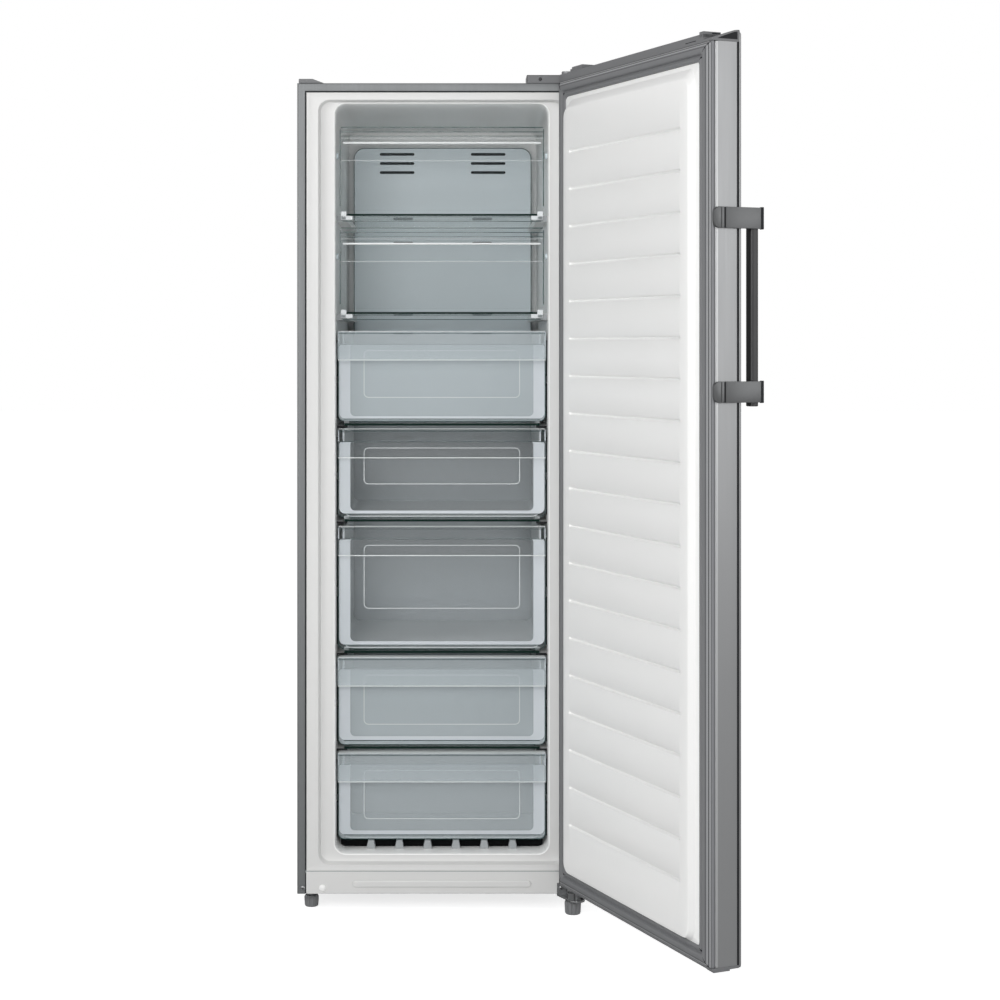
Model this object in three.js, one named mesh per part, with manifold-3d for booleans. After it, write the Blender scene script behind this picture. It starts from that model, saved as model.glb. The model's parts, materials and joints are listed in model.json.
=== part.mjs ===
// Upright freezer: steel cabinet with two flap compartments and five drawers, shown with its door open.
// Millimetres, +Z up, the cabinet's front faces -Y, +X is the hinge side.
import * as THREE from "three";
import { mergeVertices } from "three/addons/utils/BufferGeometryUtils.js";
import Module from "manifold-3d";

const wasm = await Module();
wasm.setup();

// ---- Cabinet ----
const cabinetWidth = 595;
const cabinetDepth = 590;
const cabinetBottom = 37;
const cabinetTop = 1705;
const steel = 1; // sheet of the outer wrap, the rear panel and the door skin
const skin = 1.5; // moulded plastic skin
const frontFlange = 18.5; // steel turned in round the cabinet's front
const basePlate = 2;
const turnedGap = 0.3; // between pieces that touch inside the turned door
const half = cabinetWidth / 2;
const floorTop = cabinetBottom + basePlate;
const rearFace = cabinetDepth - steel;

// ---- Cavity ----
const sideInsulation = 77.5;
const ceilingInsulation = 40;
const floorInsulation = 80;
const backInsulation = 65;
const cavityRadius = 22;
const cavityHalf = half - sideInsulation;
const cavityBottom = cabinetBottom + floorInsulation;
const cavityTop = cabinetTop - ceilingInsulation;
const cavityBack = cabinetDepth - backInsulation;
const linerLip = 25; // flat front of the liner, from the steel flange to the step
const stepSlope = 6; // the step that the door's border drops into
const stepDepth = 12;
const stepRadius = 18;
const plateauHalf = half - frontFlange - linerLip - stepSlope;
const plateauBottom = cavityBottom - 14;

// ---- Machine compartment ----
const machineDepth = 250;
const machineInsulation = 50;
const humpHeight = 201; // the raised floor over the compartment
const machineFront = cabinetDepth - machineDepth;
const humpFront = machineFront - machineInsulation;
const humpTop = cavityBottom + humpHeight;
const machineTop = humpTop - machineInsulation;
const kickHeight = 46;
const kickTop = cabinetBottom + kickHeight;
const kickSpaceDepth = 75;
const kickSheet = 2;
const kickHalf = half - frontFlange;

// ---- Shelves, flaps and drawers ----
const glass = 4;
const wall = 2;
const frontSheet = 3;
const frontLine = 60; // back face of the drawer and flap fronts
const coverFront = cavityBack - 45; // the air duct cover
const shelfHalf = cavityHalf - 15;
const shelfBack = coverFront - 10;
const ledgeReach = 25;
const openLedge = 12;
const drawerLedge = 4;
const frontHalf = cavityHalf - 3.5;
const gripReach = 20; // how far the grip strip stands in front of a drawer
const gripHeight = 60;
const frontCorner = 13;
const drawerBack = shelfBack - 10;
const bottomDrawerBack = humpFront - 20;
const drawerHeights = [184, 186, 257, 185.5, 188]; // from the lowest up
const drawerSpacings = [13, 14, 17.5, 15]; // between two fronts, from the lowest up
const firstDrawer = cavityBottom + 18;
const drawers = drawerHeights.map((height, i) => {
  const below = [...drawerHeights.slice(0, i), ...drawerSpacings.slice(0, i)];
  const bottom = below.reduce((sum, n) => sum + n, firstDrawer);
  return [bottom, bottom + height];
}).reverse();
const drawersTop = drawers[0][1];
const runnerDrop = 5; // from a front's lower edge down to the glass it runs on
const runGap = 0.5; // under a runner
const aboveDrawers = 40;
const ceilingRoom = 20;
const lowerOpenShelf = drawersTop + aboveDrawers;
const openPitch = (cavityTop - ceilingRoom - lowerOpenShelf) / 2;
const openShelfTops = [lowerOpenShelf + openPitch, lowerOpenShelf]; // these carry the flap compartments
const shelfTops = [...openShelfTops, ...drawers.slice(0, -1).map(([low]) => low - runnerDrop)];
const flapGap = 7; // over the shelf
const flapDrops = [24, 29]; // from each flap's top to the top of the shelf or the room over it
const flapTops = openShelfTops.map((top, i) => top + openPitch - flapDrops[i]);
const flapHalf = cavityHalf - 7;
const flapPivotDrop = 60;
const flapPivotBack = frontLine + 4;
const pinRadius = 4;
const pinFit = 0.6;

// ---- Door, measured as if it were shut ----
const doorAngle = 113.5; // how far it stands open
const pivot = { x: half - 22, y: -37 };
const doorThickness = 60;
const doorBack = -9; // plane of the door's inner face
const doorFront = doorBack - doorThickness;
const doorBottom = cabinetBottom + 25;
const doorTop = cabinetTop + 13;
const doorRimDepth = 13.5; // plastic edge behind the steel side
const bottomCap = 6;
const topCap = 15.5;
const skinCorner = 5;
const panelFit = 3; // between the raised panel and the cabinet's step
const panelHalf = plateauHalf - panelFit;
const panelSpan = [plateauBottom + 3.5, cavityTop - 23];
const panelHeight = 19;
const panelCorner = 20;
const panelSlopes = [[9, 9], [5.5, 22]]; // how much wider its foot is: left, right, below and above
const grooveCount = 19;
const grooveMargins = [99.5, 88.5]; // from the panel's lower and upper end to the nearest groove
const grooveHalf = panelHalf - 27;
const grooveHeight = 8;
const grooveDepth = 3;
const hingePin = 4.5;
const bushWall = 3.2;
const bushFit = 0.3;

// ---- Handle ----
const upperBracket = doorTop - 327;
const bracketSpacing = 308.5;
const handleHeights = [upperBracket, upperBracket - bracketSpacing];
const handlePlate = 37.7;
const barSpan = [handleHeights[1] - 26, upperBracket + 15];
const barDepth = 17;
const barWidth = 20.5;
const handleStandOff = 20;

// ---- Feet and rollers ----
const leftFoot = { x: -half + 26.5, y: 46, radius: 15, height: cabinetBottom - 14 };
const rightFoot = { x: half - 28.5, y: -10, radius: 17, height: cabinetBottom - 10 };
const studRadius = 4;
const studFit = 0.6;
const roller = { x: half - 67.5, y: cabinetDepth - 30, radius: 15, width: 16 };
const rollerFit = 0.5;
const axleRadius = 4;

const looks = {
  steel: { color: "#7f8081", roughness: 0.38, metalness: 0.75 },
  darkSteel: { color: "#5c5d5e", roughness: 0.45, metalness: 0.7 },
  zinc: { color: "#a9abac", roughness: 0.4, metalness: 0.9 },
  white: { color: "#ececec", roughness: 0.35, metalness: 0 },
  foam: { color: "#e3d7b2", roughness: 0.9, metalness: 0 },
  grey: { color: "#77797b", roughness: 0.5, metalness: 0 },
  gasket: { color: "#6c6d6f", roughness: 0.6, metalness: 0 },
  clear: { color: "#b7c6c9", roughness: 0.15, metalness: 0 },
  glass: { color: "#6f8c86", roughness: 0.05, metalness: 0 },
  black: { color: "#2b2c2e", roughness: 0.5, metalness: 0 },
  copper: { color: "#b06b42", roughness: 0.35, metalness: 1 },
  aluminium: { color: "#c9cbcc", roughness: 0.35, metalness: 0.9 },
  handle: { color: "#3d3d3e", roughness: 0.4, metalness: 0.3 },
};

// ---- Solids ----
function solidOf(geometry) {
  const bare = geometry.clone();
  bare.deleteAttribute("normal");
  bare.deleteAttribute("uv");
  const merged = mergeVertices(bare, 1e-4);
  return new wasm.Manifold(new wasm.Mesh({
    numProp: 3,
    vertProperties: merged.attributes.position.array,
    triVerts: new Uint32Array(merged.index.array),
  }));
}

function piece(name, solid, look) {
  const { vertProperties, triVerts } = solid.getMesh();
  const geometry = new THREE.BufferGeometry();
  geometry.setAttribute("position", new THREE.BufferAttribute(vertProperties, 3));
  geometry.setIndex(new THREE.BufferAttribute(triVerts, 1));
  geometry.computeVertexNormals();
  const mesh = new THREE.Mesh(geometry, new THREE.MeshStandardMaterial(looks[look]));
  mesh.name = name;
  return mesh;
}

function box([x0, x1], [y0, y1], [z0, z1]) {
  const block = new THREE.BoxGeometry(x1 - x0, y1 - y0, z1 - z0);
  return solidOf(block.translate((x0 + x1) / 2, (y0 + y1) / 2, (z0 + z1) / 2));
}

// An outline with its own radius at each corner: lower left, lower right, upper right, upper left.
function rounded([u0, u1], [v0, v1], radii) {
  const [a, b, c, d] = [radii].flat().length === 4 ? radii : Array(4).fill(radii);
  const shape = new THREE.Shape();
  const corner = (u, v, r, start) => {
    if (r > 0) shape.absarc(u, v, r, start, start + Math.PI / 2, false);
    else shape.lineTo(u, v);
  };
  shape.moveTo(u0 + a, v0);
  corner(u1 - b, v0 + b, b, -Math.PI / 2);
  corner(u1 - c, v1 - c, c, 0);
  corner(u0 + d, v1 - d, d, Math.PI / 2);
  corner(u0 + a, v0 + a, a, Math.PI);
  return shape;
}

const polygon = (points) => new THREE.Shape(points.map(([u, v]) => new THREE.Vector2(u, v)));

// Outlines are drawn in (y, z), (x, z) or (x, y) and swept along the axis left over.
const X = new THREE.Vector3(1, 0, 0);
const Y = new THREE.Vector3(0, 1, 0);
const Z = new THREE.Vector3(0, 0, 1);
const turns = {
  x: new THREE.Matrix4().makeBasis(Y, Z, X),
  y: new THREE.Matrix4().makeBasis(X, Z, Y.clone().negate()),
  z: new THREE.Matrix4(),
};

// A flare widens the outline at one end of the sweep, by one amount or by [[left, right], [below, above]].
function sweep(outline, axis, [from, to], { curve = 5, flare } = {}) {
  const geometry = new THREE.ExtrudeGeometry(outline,
    { depth: to - from, bevelEnabled: false, curveSegments: curve });
  geometry.applyMatrix4(turns[axis]);
  const move = { x: [from, 0, 0], y: [0, to, 0], z: [0, 0, from] }[axis];
  geometry.translate(...move);
  if (flare) {
    geometry.computeBoundingBox();
    const centre = geometry.boundingBox.getCenter(new THREE.Vector3());
    const size = geometry.boundingBox.getSize(new THREE.Vector3());
    const points = geometry.attributes.position;
    const along = "xyz".indexOf(axis);
    for (let i = 0; i < points.count; i++) {
      if (Math.abs(points.getComponent(i, along) - flare.at) > 0.01) continue;
      [0, 1, 2].filter((n) => n !== along).forEach((across, k) => {
        const m = centre.getComponent(across);
        const off = points.getComponent(i, across) - m;
        const by = Array.isArray(flare.by) ? flare.by[k][off > 0 ? 1 : 0] : flare.by;
        points.setComponent(i, across, m + off * (1 + (2 * by) / size.getComponent(across)));
      });
    }
  }
  return solidOf(geometry);
}

// A round bar between two points on its axis; u and v are the axis's place in the other two.
function rod(radius, axis, [u, v], [from, to], sides = 16) {
  const bar = new THREE.CylinderGeometry(radius, radius, to - from, sides);
  const middle = (from + to) / 2;
  if (axis === "x") bar.rotateZ(Math.PI / 2).translate(middle, u, v);
  if (axis === "y") bar.translate(u, middle, v);
  if (axis === "z") bar.rotateX(Math.PI / 2).translate(u, v, middle);
  return solidOf(bar);
}

const joined = (solids) => solids.reduce((all, one) => all.add(one));
const inset = ([a, b], by) => [a + by, b - by];
const both = (h) => [-h, h];

const freezer = new THREE.Group();
const cabinet = new THREE.Group();
freezer.add(cabinet);

// ---- Outer shell ----
cabinet.add(piece("cabinet_wrap",
  box(both(half), [0, cabinetDepth], [cabinetBottom, cabinetTop])
    .subtract(box(both(half - steel), [steel, cabinetDepth + 1], [0, cabinetTop - steel]))
    .subtract(box(both(half - frontFlange), [-1, steel + 1], [0, cabinetTop - frontFlange])),
  "steel"));
cabinet.add(piece("rear_panel",
  box(both(half - steel), [cabinetDepth - steel, cabinetDepth], [machineTop, cabinetTop - steel]),
  "zinc"));

cabinet.add(piece("base_plate",
  box(both(half - steel), [stepDepth, cabinetDepth - steel], [cabinetBottom, floorTop])
    .subtract(rod(studRadius + studFit, "z", [leftFoot.x, leftFoot.y], [0, 80])),
  "zinc"));

const slotHeight = 14.4;
const slotBottom = cabinetBottom + 12.8;
const kickSlot = rounded(both(kickHalf - 95), [slotBottom, slotBottom + slotHeight], slotHeight / 2);
cabinet.add(piece("kick_panel",
  box(both(kickHalf), [0, stepDepth], [cabinetBottom, kickTop])
    .subtract(box(inset(both(kickHalf), kickSheet), [kickSheet, 40], [0, kickTop - kickSheet]))
    .subtract(sweep(kickSlot, "y", [-1, 0.8])),
  "white"));

// ---- Inner liner ----
const cavity = (grow) => sweep(rounded(both(cavityHalf + grow),
  [cavityBottom - grow, cavityTop + grow], cavityRadius + grow), "y",
[-1, cavityBack + grow])
  .subtract(box(both(half), [humpFront + grow, cabinetDepth], [0, humpTop - grow]));

const recess = (grow, back) => sweep(rounded(both(plateauHalf + grow),
  [plateauBottom - grow, cavityTop + grow], stepRadius), "y", [0, back],
{ flare: { at: 0, by: stepSlope } });

const ledges = shelfTops.map((top) => top - glass).flatMap((z, i) => {
  const tall = i < openShelfTops.length ? openLedge : drawerLedge;
  return [-1, 1].map((side) => {
    const x = [side * (cavityHalf + 1), side * (cavityHalf - ledgeReach)].sort((a, b) => a - b);
    return box(x, [frontLine + 2, shelfBack + 5], [z - tall, z]);
  });
});
const [lowestDrawer] = drawers.at(-1);
const floorRibPitch = 59;
const floorRibs = [-2.5, -1.5, -0.5, 0.5, 1.5, 2.5].map((n) => n * floorRibPitch).map((x) => sweep(polygon([
  [x - 9, cavityBottom - 0.5], [x + 9, cavityBottom - 0.5], [x + 6, lowestDrawer - runGap],
  [x - 6, lowestDrawer - runGap]]), "y", [50, humpFront + 0.5]));
const lugInner = flapHalf + 2.5;
const lugs = flapTops.flatMap((top) => [-1, 1].map((side) => {
  const place = [flapPivotBack, top - flapPivotDrop];
  const reach = ([a, b]) => (side < 0 ? [-b, -a] : [a, b]);
  return rod(10, "x", place, reach([lugInner, cavityHalf + 1]))
    .subtract(rod(pinRadius + pinFit, "x", place, reach([lugInner - 1, cavityHalf - 0.5])));
}));

const linerFront = [kickTop, cabinetTop - frontFlange];
const liner = box(both(kickHalf), [0, skin], linerFront)
  .add(recess(skin, stepDepth + skin))
  .add(cavity(skin))
  .subtract(recess(0, stepDepth))
  .subtract(cavity(0))
  .subtract(box(both(half), [-5, 0], [0, cabinetTop]));
cabinet.add(piece("inner_liner", joined([liner, ...ledges, ...floorRibs, ...lugs]), "white"));

// ---- Insulation ----
const stepClear = stepSlope + skin + 2.5;
cabinet.add(piece("insulation_foam",
  box(both(half - steel), [steel, cabinetDepth - steel], [floorTop, cabinetTop - steel])
    .subtract(box(both(kickHalf), [0, skin], [0, cabinetTop - frontFlange]))
    .subtract(box(both(plateauHalf + stepClear), [0, stepDepth + skin],
      [plateauBottom - stepClear, cavityTop + stepClear]))
    .subtract(cavity(skin))
    .subtract(box(both(kickHalf), [0, kickSpaceDepth], [0, kickTop]))
    .subtract(box(both(half), [machineFront, cabinetDepth], [0, machineTop])),
  "foam"));

// ---- Air duct cover, evaporator and fan ----
const coverHalf = cavityHalf - 17;
const cover = { span: [humpTop + 17, cavityTop - 46], sheet: 2.5, corner: 23 };
const coverShape = (by) => rounded(inset(both(coverHalf), by), inset(cover.span, by),
  [2, 2, cover.corner - by, cover.corner - by]);
const slot = (x, z, width, curve) => sweep(rounded([x - width / 2, x + width / 2],
  [z - 3, z + 3], 3), "y", [coverFront - 1, coverFront + 4], { curve });
const wideVents = [13, 34, 55].flatMap((down) => [-105, 105]
  .map((x) => slot(x, cover.span[1] - down, 80, 2)));
const [upperShelf, lowerShelf] = openShelfTops;
const archTop = drawers[1][1] - 19; // under the second drawer's upper edge
const archHeight = 93;
const smallVents = [upperShelf + 17, upperShelf - 39, lowerShelf + 2, lowerShelf - 44, archTop - 19,
  archTop - 67].flatMap((z) => [-91, 91].map((x) => slot(x, z, 46, 1)));
const arches = [-92, 92].map((x) => sweep(rounded([x - 47, x + 47], [archTop - archHeight, archTop],
  [4, 4, 46, 46]), "y", [coverFront - 1, coverFront + 1]));
cabinet.add(piece("evaporator_cover",
  sweep(coverShape(0), "y", [coverFront, cavityBack])
    .subtract(sweep(coverShape(wall), "y", [coverFront + cover.sheet, cavityBack + 5]))
    .subtract(joined([...wideVents, ...smallVents, ...arches])),
  "white"));

const coilBottom = cover.span[0] + 225;
const coilHalf = coverHalf - 52;
const coilHeight = 280;
const coilY = [coverFront + 12, coverFront + 38];
const finPlaces = [-3, -2, -1, 0, 1, 2, 3].map((n) => (n * (coilHalf - 16)) / 3);
cabinet.add(piece("evaporator", joined([
  ...[30, 100, 180, 250].map((up) => rod(4, "x", [coverFront + 24, coilBottom + up],
    both(coilHalf + 7), 6)),
  ...finPlaces.map((x) => box([x - 0.5, x + 0.5], coilY, [coilBottom, coilBottom + coilHeight])),
  ...[-coilHalf, coilHalf].map((x) => box([x - 1, x + 1], [coilY[0] - 2, cavityBack],
    [coilBottom - 10, coilBottom + coilHeight + 10])),
]), "aluminium"));

const fan = { z: cover.span[1] - 319, ring: 62, motor: 17, hub: 15, blade: 52 };
const hubY = [coverFront + 9, coverFront + 23];
const strut = (angle) => solidOf(new THREE.BoxGeometry(fan.ring - 4, 5, 6)
  .translate((fan.ring - 4) / 2, cavityBack - 7, 0).rotateY(angle).translate(0, 0, fan.z));
const thirds = [0, 1, 2].map((n) => (n * 2 * Math.PI) / 3);
cabinet.add(piece("fan_shroud",
  rod(fan.ring, "y", [0, fan.z], [hubY[0] - 1, cavityBack], 28)
    .subtract(rod(fan.ring - 5, "y", [0, fan.z], [coverFront, cavityBack + 5], 28))
    .add(rod(fan.motor, "y", [0, fan.z], [hubY[1] + runGap, cavityBack - 3]))
    .add(joined(thirds.map(strut))),
  "black"));

const bladeRoot = 8;
const blade = (n) => solidOf(new THREE.BoxGeometry(fan.blade - bladeRoot, 2, 26)
  .rotateX(0.5).translate((fan.blade + bladeRoot) / 2, (hubY[0] + hubY[1]) / 2, 0)
  .rotateY((n * 2 * Math.PI) / 5).translate(0, 0, fan.z));
const fanRotor = new THREE.Group();
fanRotor.add(piece("fan_rotor",
  joined([rod(fan.hub, "y", [0, fan.z], hubY), ...[0, 1, 2, 3, 4].map(blade)]), "white"));
freezer.add(fanRotor);

// ---- Glass shelves ----
shelfTops.forEach((top, i) => cabinet.add(piece(`glass_shelf_${i + 1}`,
  box(both(shelfHalf), [frontLine + 2, shelfBack], [top - glass, top]), "glass")));

// ---- Hinges and top caps ----
const cap = polygon([[3, 0], [55.5, 0], [31.5, 9], [3, 9]]
  .map(([u, v]) => [u - half, v + cabinetTop]));
cabinet.add(piece("top_left_cap", sweep(cap, "y", [2, 62]), "darkSteel"));

const armBottom = doorTop + 4;
const armTop = armBottom + 3;
const armHalf = 13.5;
const armX = [pivot.x - armHalf, pivot.x + armHalf];
const armRoot = [armX[0] - 15, armX[1]]; // wide where it leaves the cabinet
const pinHead = armTop + 4;
cabinet.add(piece("top_hinge_bracket", joined([
  box([half - 109.5, armX[1]], [8, 58], [cabinetTop, cabinetTop + 3]),
  box(armX, [4, 10], [cabinetTop, armTop]),
  sweep(rounded(armRoot, [-10, 10], [8, 2, 0, 0]), "z", [armBottom, armTop + 3]),
  box(armX, [pivot.y, 10], [armBottom, armTop]),
  rod(armHalf, "z", [pivot.x, pivot.y], [armBottom, pinHead - 1.5], 20),
  rod(10, "z", [pivot.x, pivot.y], [armTop - 1, pinHead], 20),
  rod(hingePin, "z", [pivot.x, pivot.y], [doorTop - 16, armTop - 1]),
]), "darkSteel"));
const hoodX = [half - 122.5, half - 50.5];
const hoodHeight = 17;
cabinet.add(piece("top_hinge_cover",
  box(hoodX, [3, 62], [cabinetTop, cabinetTop + hoodHeight])
    .subtract(box([hoodX[0] + wall, hoodX[1] + wall], [3 + wall, 62 - wall],
      [cabinetTop - 5, cabinetTop + hoodHeight - wall])),
  "darkSteel"));

const lowerArm = [cabinetBottom - 4, cabinetBottom];
const earX = [half - 60.5, half - 39.5];
cabinet.add(piece("bottom_hinge_bracket", joined([
  box([earX[0], half - 5.5], [-1, 40], lowerArm),
  sweep(polygon([[earX[0], 0], [pivot.x - 14, pivot.y - 9], [half - 5.5, pivot.y],
    [half - 5.5, 0]]), "z", lowerArm),
  rod(16.5, "z", [pivot.x, pivot.y], lowerArm, 20),
  box(earX, [-3, 0], [lowerArm[0], cabinetBottom + 23]),
  box([pivot.x - 19, pivot.x - 6], inset([pivot.y, pivot.y], -7),
    [cabinetBottom - 1, cabinetBottom + 13.5]),
  rod(8, "z", [pivot.x, pivot.y], [cabinetBottom - 1, doorBottom - 1], 20),
  rod(hingePin, "z", [pivot.x, pivot.y], [doorBottom - 2, doorBottom + 14]),
]).subtract(rod(studRadius + studFit, "z", [rightFoot.x, rightFoot.y], [0, 80])), "darkSteel"));

// ---- Machinery ----
const louvre = (x, up) => box([x - 26, x + 26], [rearFace - 1, cabinetDepth + 1],
  [floorTop + up, floorTop + up + 5]);
const louvres = [-2, -1, 0, 1, 2].map((n) => n * 70)
  .flatMap((x) => [50, 80, 110, 140, 170].map((up) => louvre(x, up)));
const gland = { place: [-half + 67.5, floorTop + 111], neck: 8, bore: 4 };
cabinet.add(piece("compartment_cover",
  box(both(half - steel), [rearFace, cabinetDepth], [floorTop, machineTop])
    .subtract(joined(louvres))
    .subtract(rod(gland.neck + turnedGap, "y", gland.place, [rearFace - 5, cabinetDepth + 5])),
  "zinc"));
cabinet.add(piece("cable_gland",
  rod(gland.neck, "y", gland.place, [rearFace - 4, cabinetDepth + 1])
    .add(rod(gland.neck + 4, "y", gland.place, [cabinetDepth, cabinetDepth + 4]))
    .subtract(rod(gland.bore, "y", gland.place, [rearFace - 10, cabinetDepth + 10])),
  "black"));

const pump = { x: half - 147.5, y: cabinetDepth - 125, radius: 80 };
const shell = new THREE.LatheGeometry([[0, 15], [66, 19], [80, 35], [80, 101], [66, 137], [34, 153],
  [0, 157]].map(([r, z]) => new THREE.Vector2(r, z + floorTop)), 20);
const pumpFoot = { x: 95, y: 78, radius: 10 };
cabinet.add(piece("compressor", joined([
  solidOf(shell.rotateX(Math.PI / 2).translate(pump.x, pump.y, 0)),
  box([pump.x - 105, pump.x + 105], [pump.y - 88, pump.y + 88], [floorTop + 11, floorTop + 23]),
  ...[[-1, -1], [1, -1], [-1, 1], [1, 1]].map(([i, j]) => rod(pumpFoot.radius, "z",
    [pump.x + i * pumpFoot.x, pump.y + j * pumpFoot.y], [floorTop, floorTop + 12], 12)),
  box([pump.x - pump.radius - 32, pump.x - pump.radius + 10], [pump.y - 30, pump.y + 30],
    [floorTop + 51, floorTop + 111]),
  rod(4, "z", [pump.x + 30, pump.y - 40], [floorTop + 110, floorTop + 186], 10),
]), "black"));

const coil = {
  x: [-half + 17.5, pump.x - pump.radius - 60],
  y: [cabinetDepth - 205, cabinetDepth - 35],
  top: floorTop + 61,
};
const coilRuns = [20, 65, 110, 155].map((back) => coil.y[0] + back);
cabinet.add(piece("condenser", joined([
  ...[15, 31, 47].flatMap((up) => coilRuns.map((y) => rod(3, "x", [y, floorTop + up], coil.x, 6))),
  ...[0, 1].map((n) => box([coil.x[n] + (n ? -2 : 0), coil.x[n] + (n ? 0 : 2)], coil.y,
    [floorTop, coil.top])),
]), "copper"));
cabinet.add(piece("drip_pan",
  box(coil.x, coil.y, [coil.top, coil.top + 32])
    .subtract(box(inset(coil.x, wall), inset(coil.y, wall), [coil.top + wall, coil.top + 50])),
  "grey"));

// ---- Rollers at the rear ----
for (const [side, label] of [[-1, "left"], [1, "right"]]) {
  const x = side * roller.x;
  const inner = roller.width / 2 + rollerFit;
  const outer = inner + 2;
  const along = [x - outer, x + outer];
  const fork = [roller.y - 14, roller.y + 14];
  cabinet.add(piece(`roller_bracket_${label}`,
    box(along, fork, [8, cabinetBottom])
      .subtract(box([x - inner, x + inner], [fork[0] - 1, fork[1] + 1],
        [0, 2 * roller.radius + 2]))
      .add(rod(axleRadius, "x", [roller.y, roller.radius], along, 12)),
    "zinc"));
  const wheel = new THREE.Group();
  wheel.add(piece(`roller_${label}`,
    rod(roller.radius, "x", [roller.y, roller.radius],
      [x - roller.width / 2, x + roller.width / 2], 24)
      .subtract(rod(axleRadius + rollerFit, "x", [roller.y, roller.radius],
        [x - 20, x + 20], 12)),
    "black"));
  freezer.add(wheel);
}

// ---- Levelling feet ----
function foot(name, { x, y, radius, height }, top) {
  const profile = [[0, 0], [radius * 0.8, 0], [radius * 0.86, 3], [radius, height - 8],
    [radius, height - 3], [radius - 3, height], [0, height]];
  const body = new THREE.LatheGeometry(profile.map(([r, z]) => new THREE.Vector2(r, z)), 24)
    .rotateX(Math.PI / 2).translate(x, y, 0);
  const group = new THREE.Group();
  group.add(piece(name, joined([
    solidOf(body),
    rod(studRadius, "z", [x, y], [height - 1, top], 12),
    rod(8, "z", [x, y], [height - 1, height + 4], 6),
  ]), "black"));
  freezer.add(group);
}
foot("foot_left", leftFoot, kickTop - 21);
foot("foot_right", rightFoot, cabinetBottom + 15);

// ---- Compartment flaps ----
flapTops.forEach((top, i) => {
  const flap = new THREE.Group();
  const n = i + 1;
  const z = [openShelfTops[i] + flapGap, top];
  const front = frontLine - frontSheet;
  const pivotZ = top - flapPivotDrop;
  const sides = [-1, 1].flatMap((side) => {
    const reach = (a, b) => [side * a, side * b].sort((p, q) => p - q);
    return [
      box(reach(flapHalf - 4, flapHalf), [front + 1, flapPivotBack + 8], [pivotZ - 12, pivotZ + 12]),
      rod(pinRadius, "x", [flapPivotBack, pivotZ], reach(flapHalf - 1, cavityHalf - 1), 12),
    ];
  });
  const shape = rounded(both(flapHalf), z, [8, 8, 4, 4]);
  flap.add(piece(`flap_${n}`, joined([
    sweep(shape, "y", [front, frontLine], { curve: 3 }),
    box(both(flapHalf - 6), [frontLine - 1, frontLine + 4], [pivotZ - 9, pivotZ - 7]),
    ...sides,
  ]), "clear"));
  flap.add(piece(`flap_grip_${n}`,
    sweep(rounded(both(flapHalf - 8), [top - 33, top - 21], 3), "y", [front - 9, front],
      { curve: 3 }),
    "white"));
  freezer.add(flap);
});

// ---- Drawers ----
drawers.forEach(([bottom, top], i) => {
  const drawer = new THREE.Group();
  const n = i + 1;
  const front = frontLine - frontSheet;
  const back = n === drawers.length ? bottomDrawerBack : drawerBack;
  const lower = bottom + 1;
  const span = [lower, top - 3];
  const emboss = rounded(both(shelfHalf - 24), inset([lower, top], 34), 12);
  drawer.add(piece(`drawer_box_${n}`, joined([
    box(both(shelfHalf), [frontLine, back], span)
      .subtract(box(inset(both(shelfHalf), wall), [frontLine + wall, back - wall],
        [lower + wall, top])),
    sweep(emboss, "y", [back - wall - 1.5, back - 1], { curve: 3 }),
    ...[-1, 1].map((side) => side * (shelfHalf - 5)).map((x) => box([x - 5, x + 5],
      [frontLine, back - 10],
      [bottom - runnerDrop + runGap, lower + 1])),
  ]), "clear"));

  const grip = front - gripReach;
  const profile = polygon([[frontLine, bottom], [frontLine, top], [grip, top],
    [grip, top - gripHeight], [grip + frontSheet, top - gripHeight],
    [grip + frontSheet, top - frontSheet], [front, top - frontSheet], [front, bottom]]);
  const outline = rounded(both(frontHalf), [bottom, top], [frontCorner, frontCorner, 4, 4]);
  drawer.add(piece(`drawer_front_${n}`,
    sweep(profile, "x", both(frontHalf))
      .intersect(sweep(outline, "y", [grip - 1, frontLine + 1], { curve: 4 })),
    "clear"));
  freezer.add(drawer);
});

// ---- Door, drawn shut and then turned about its hinge pins ----
const doorTurn = new THREE.Group();
doorTurn.position.set(pivot.x, pivot.y, 0);
doorTurn.rotation.z = THREE.MathUtils.degToRad(doorAngle);
const door = new THREE.Group();
door.position.set(-pivot.x, -pivot.y, 0);
doorTurn.add(door);
freezer.add(doorTurn);

const skinSpan = [doorBottom + bottomCap + turnedGap, doorTop - topCap - turnedGap];
const steelBack = doorBack - doorRimDepth;
const plan = (by, back) => rounded(both(half - by), [doorFront + by, back],
  [skinCorner - Math.min(by, 4), skinCorner - Math.min(by, 4), 0, 0]);
door.add(piece("door_skin",
  sweep(plan(0, steelBack), "z", skinSpan)
    .subtract(sweep(plan(steel, steelBack + 1), "z", [0, cabinetTop * 2])),
  "steel"));

const rimInner = half - 12.5;
const linerPlate = 2;
const plateBack = doorBack - linerPlate;
const panelFace = doorBack + panelHeight;
const grooveEnds = [panelSpan[0] + grooveMargins[0], panelSpan[1] - grooveMargins[1]];
const grooves = (grow) => joined(Array.from({ length: grooveCount }, (_, i) => THREE.MathUtils
  .lerp(...grooveEnds, i / (grooveCount - 1)))
  .map((z) => box(both(grooveHalf + grow), [panelFace - grooveDepth - grow, panelFace + 1],
    inset([z, z], -grooveHeight / 2 - grow))));
const raisedPanel = (by, foot) => sweep(rounded(both(panelHalf - by), inset(panelSpan, by),
  panelCorner - by), "y", [foot, panelFace - by], { flare: { at: foot, by: panelSlopes } })
  .subtract(grooves(by));
door.add(piece("door_liner",
  box(both(half), [steelBack + turnedGap, doorBack], skinSpan)
    .subtract(box(both(rimInner), [doorFront, plateBack], inset(skinSpan, 12)))
    .add(raisedPanel(0, doorBack - 1))
    .subtract(raisedPanel(linerPlate, plateBack - 1)),
  "white"));

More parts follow.
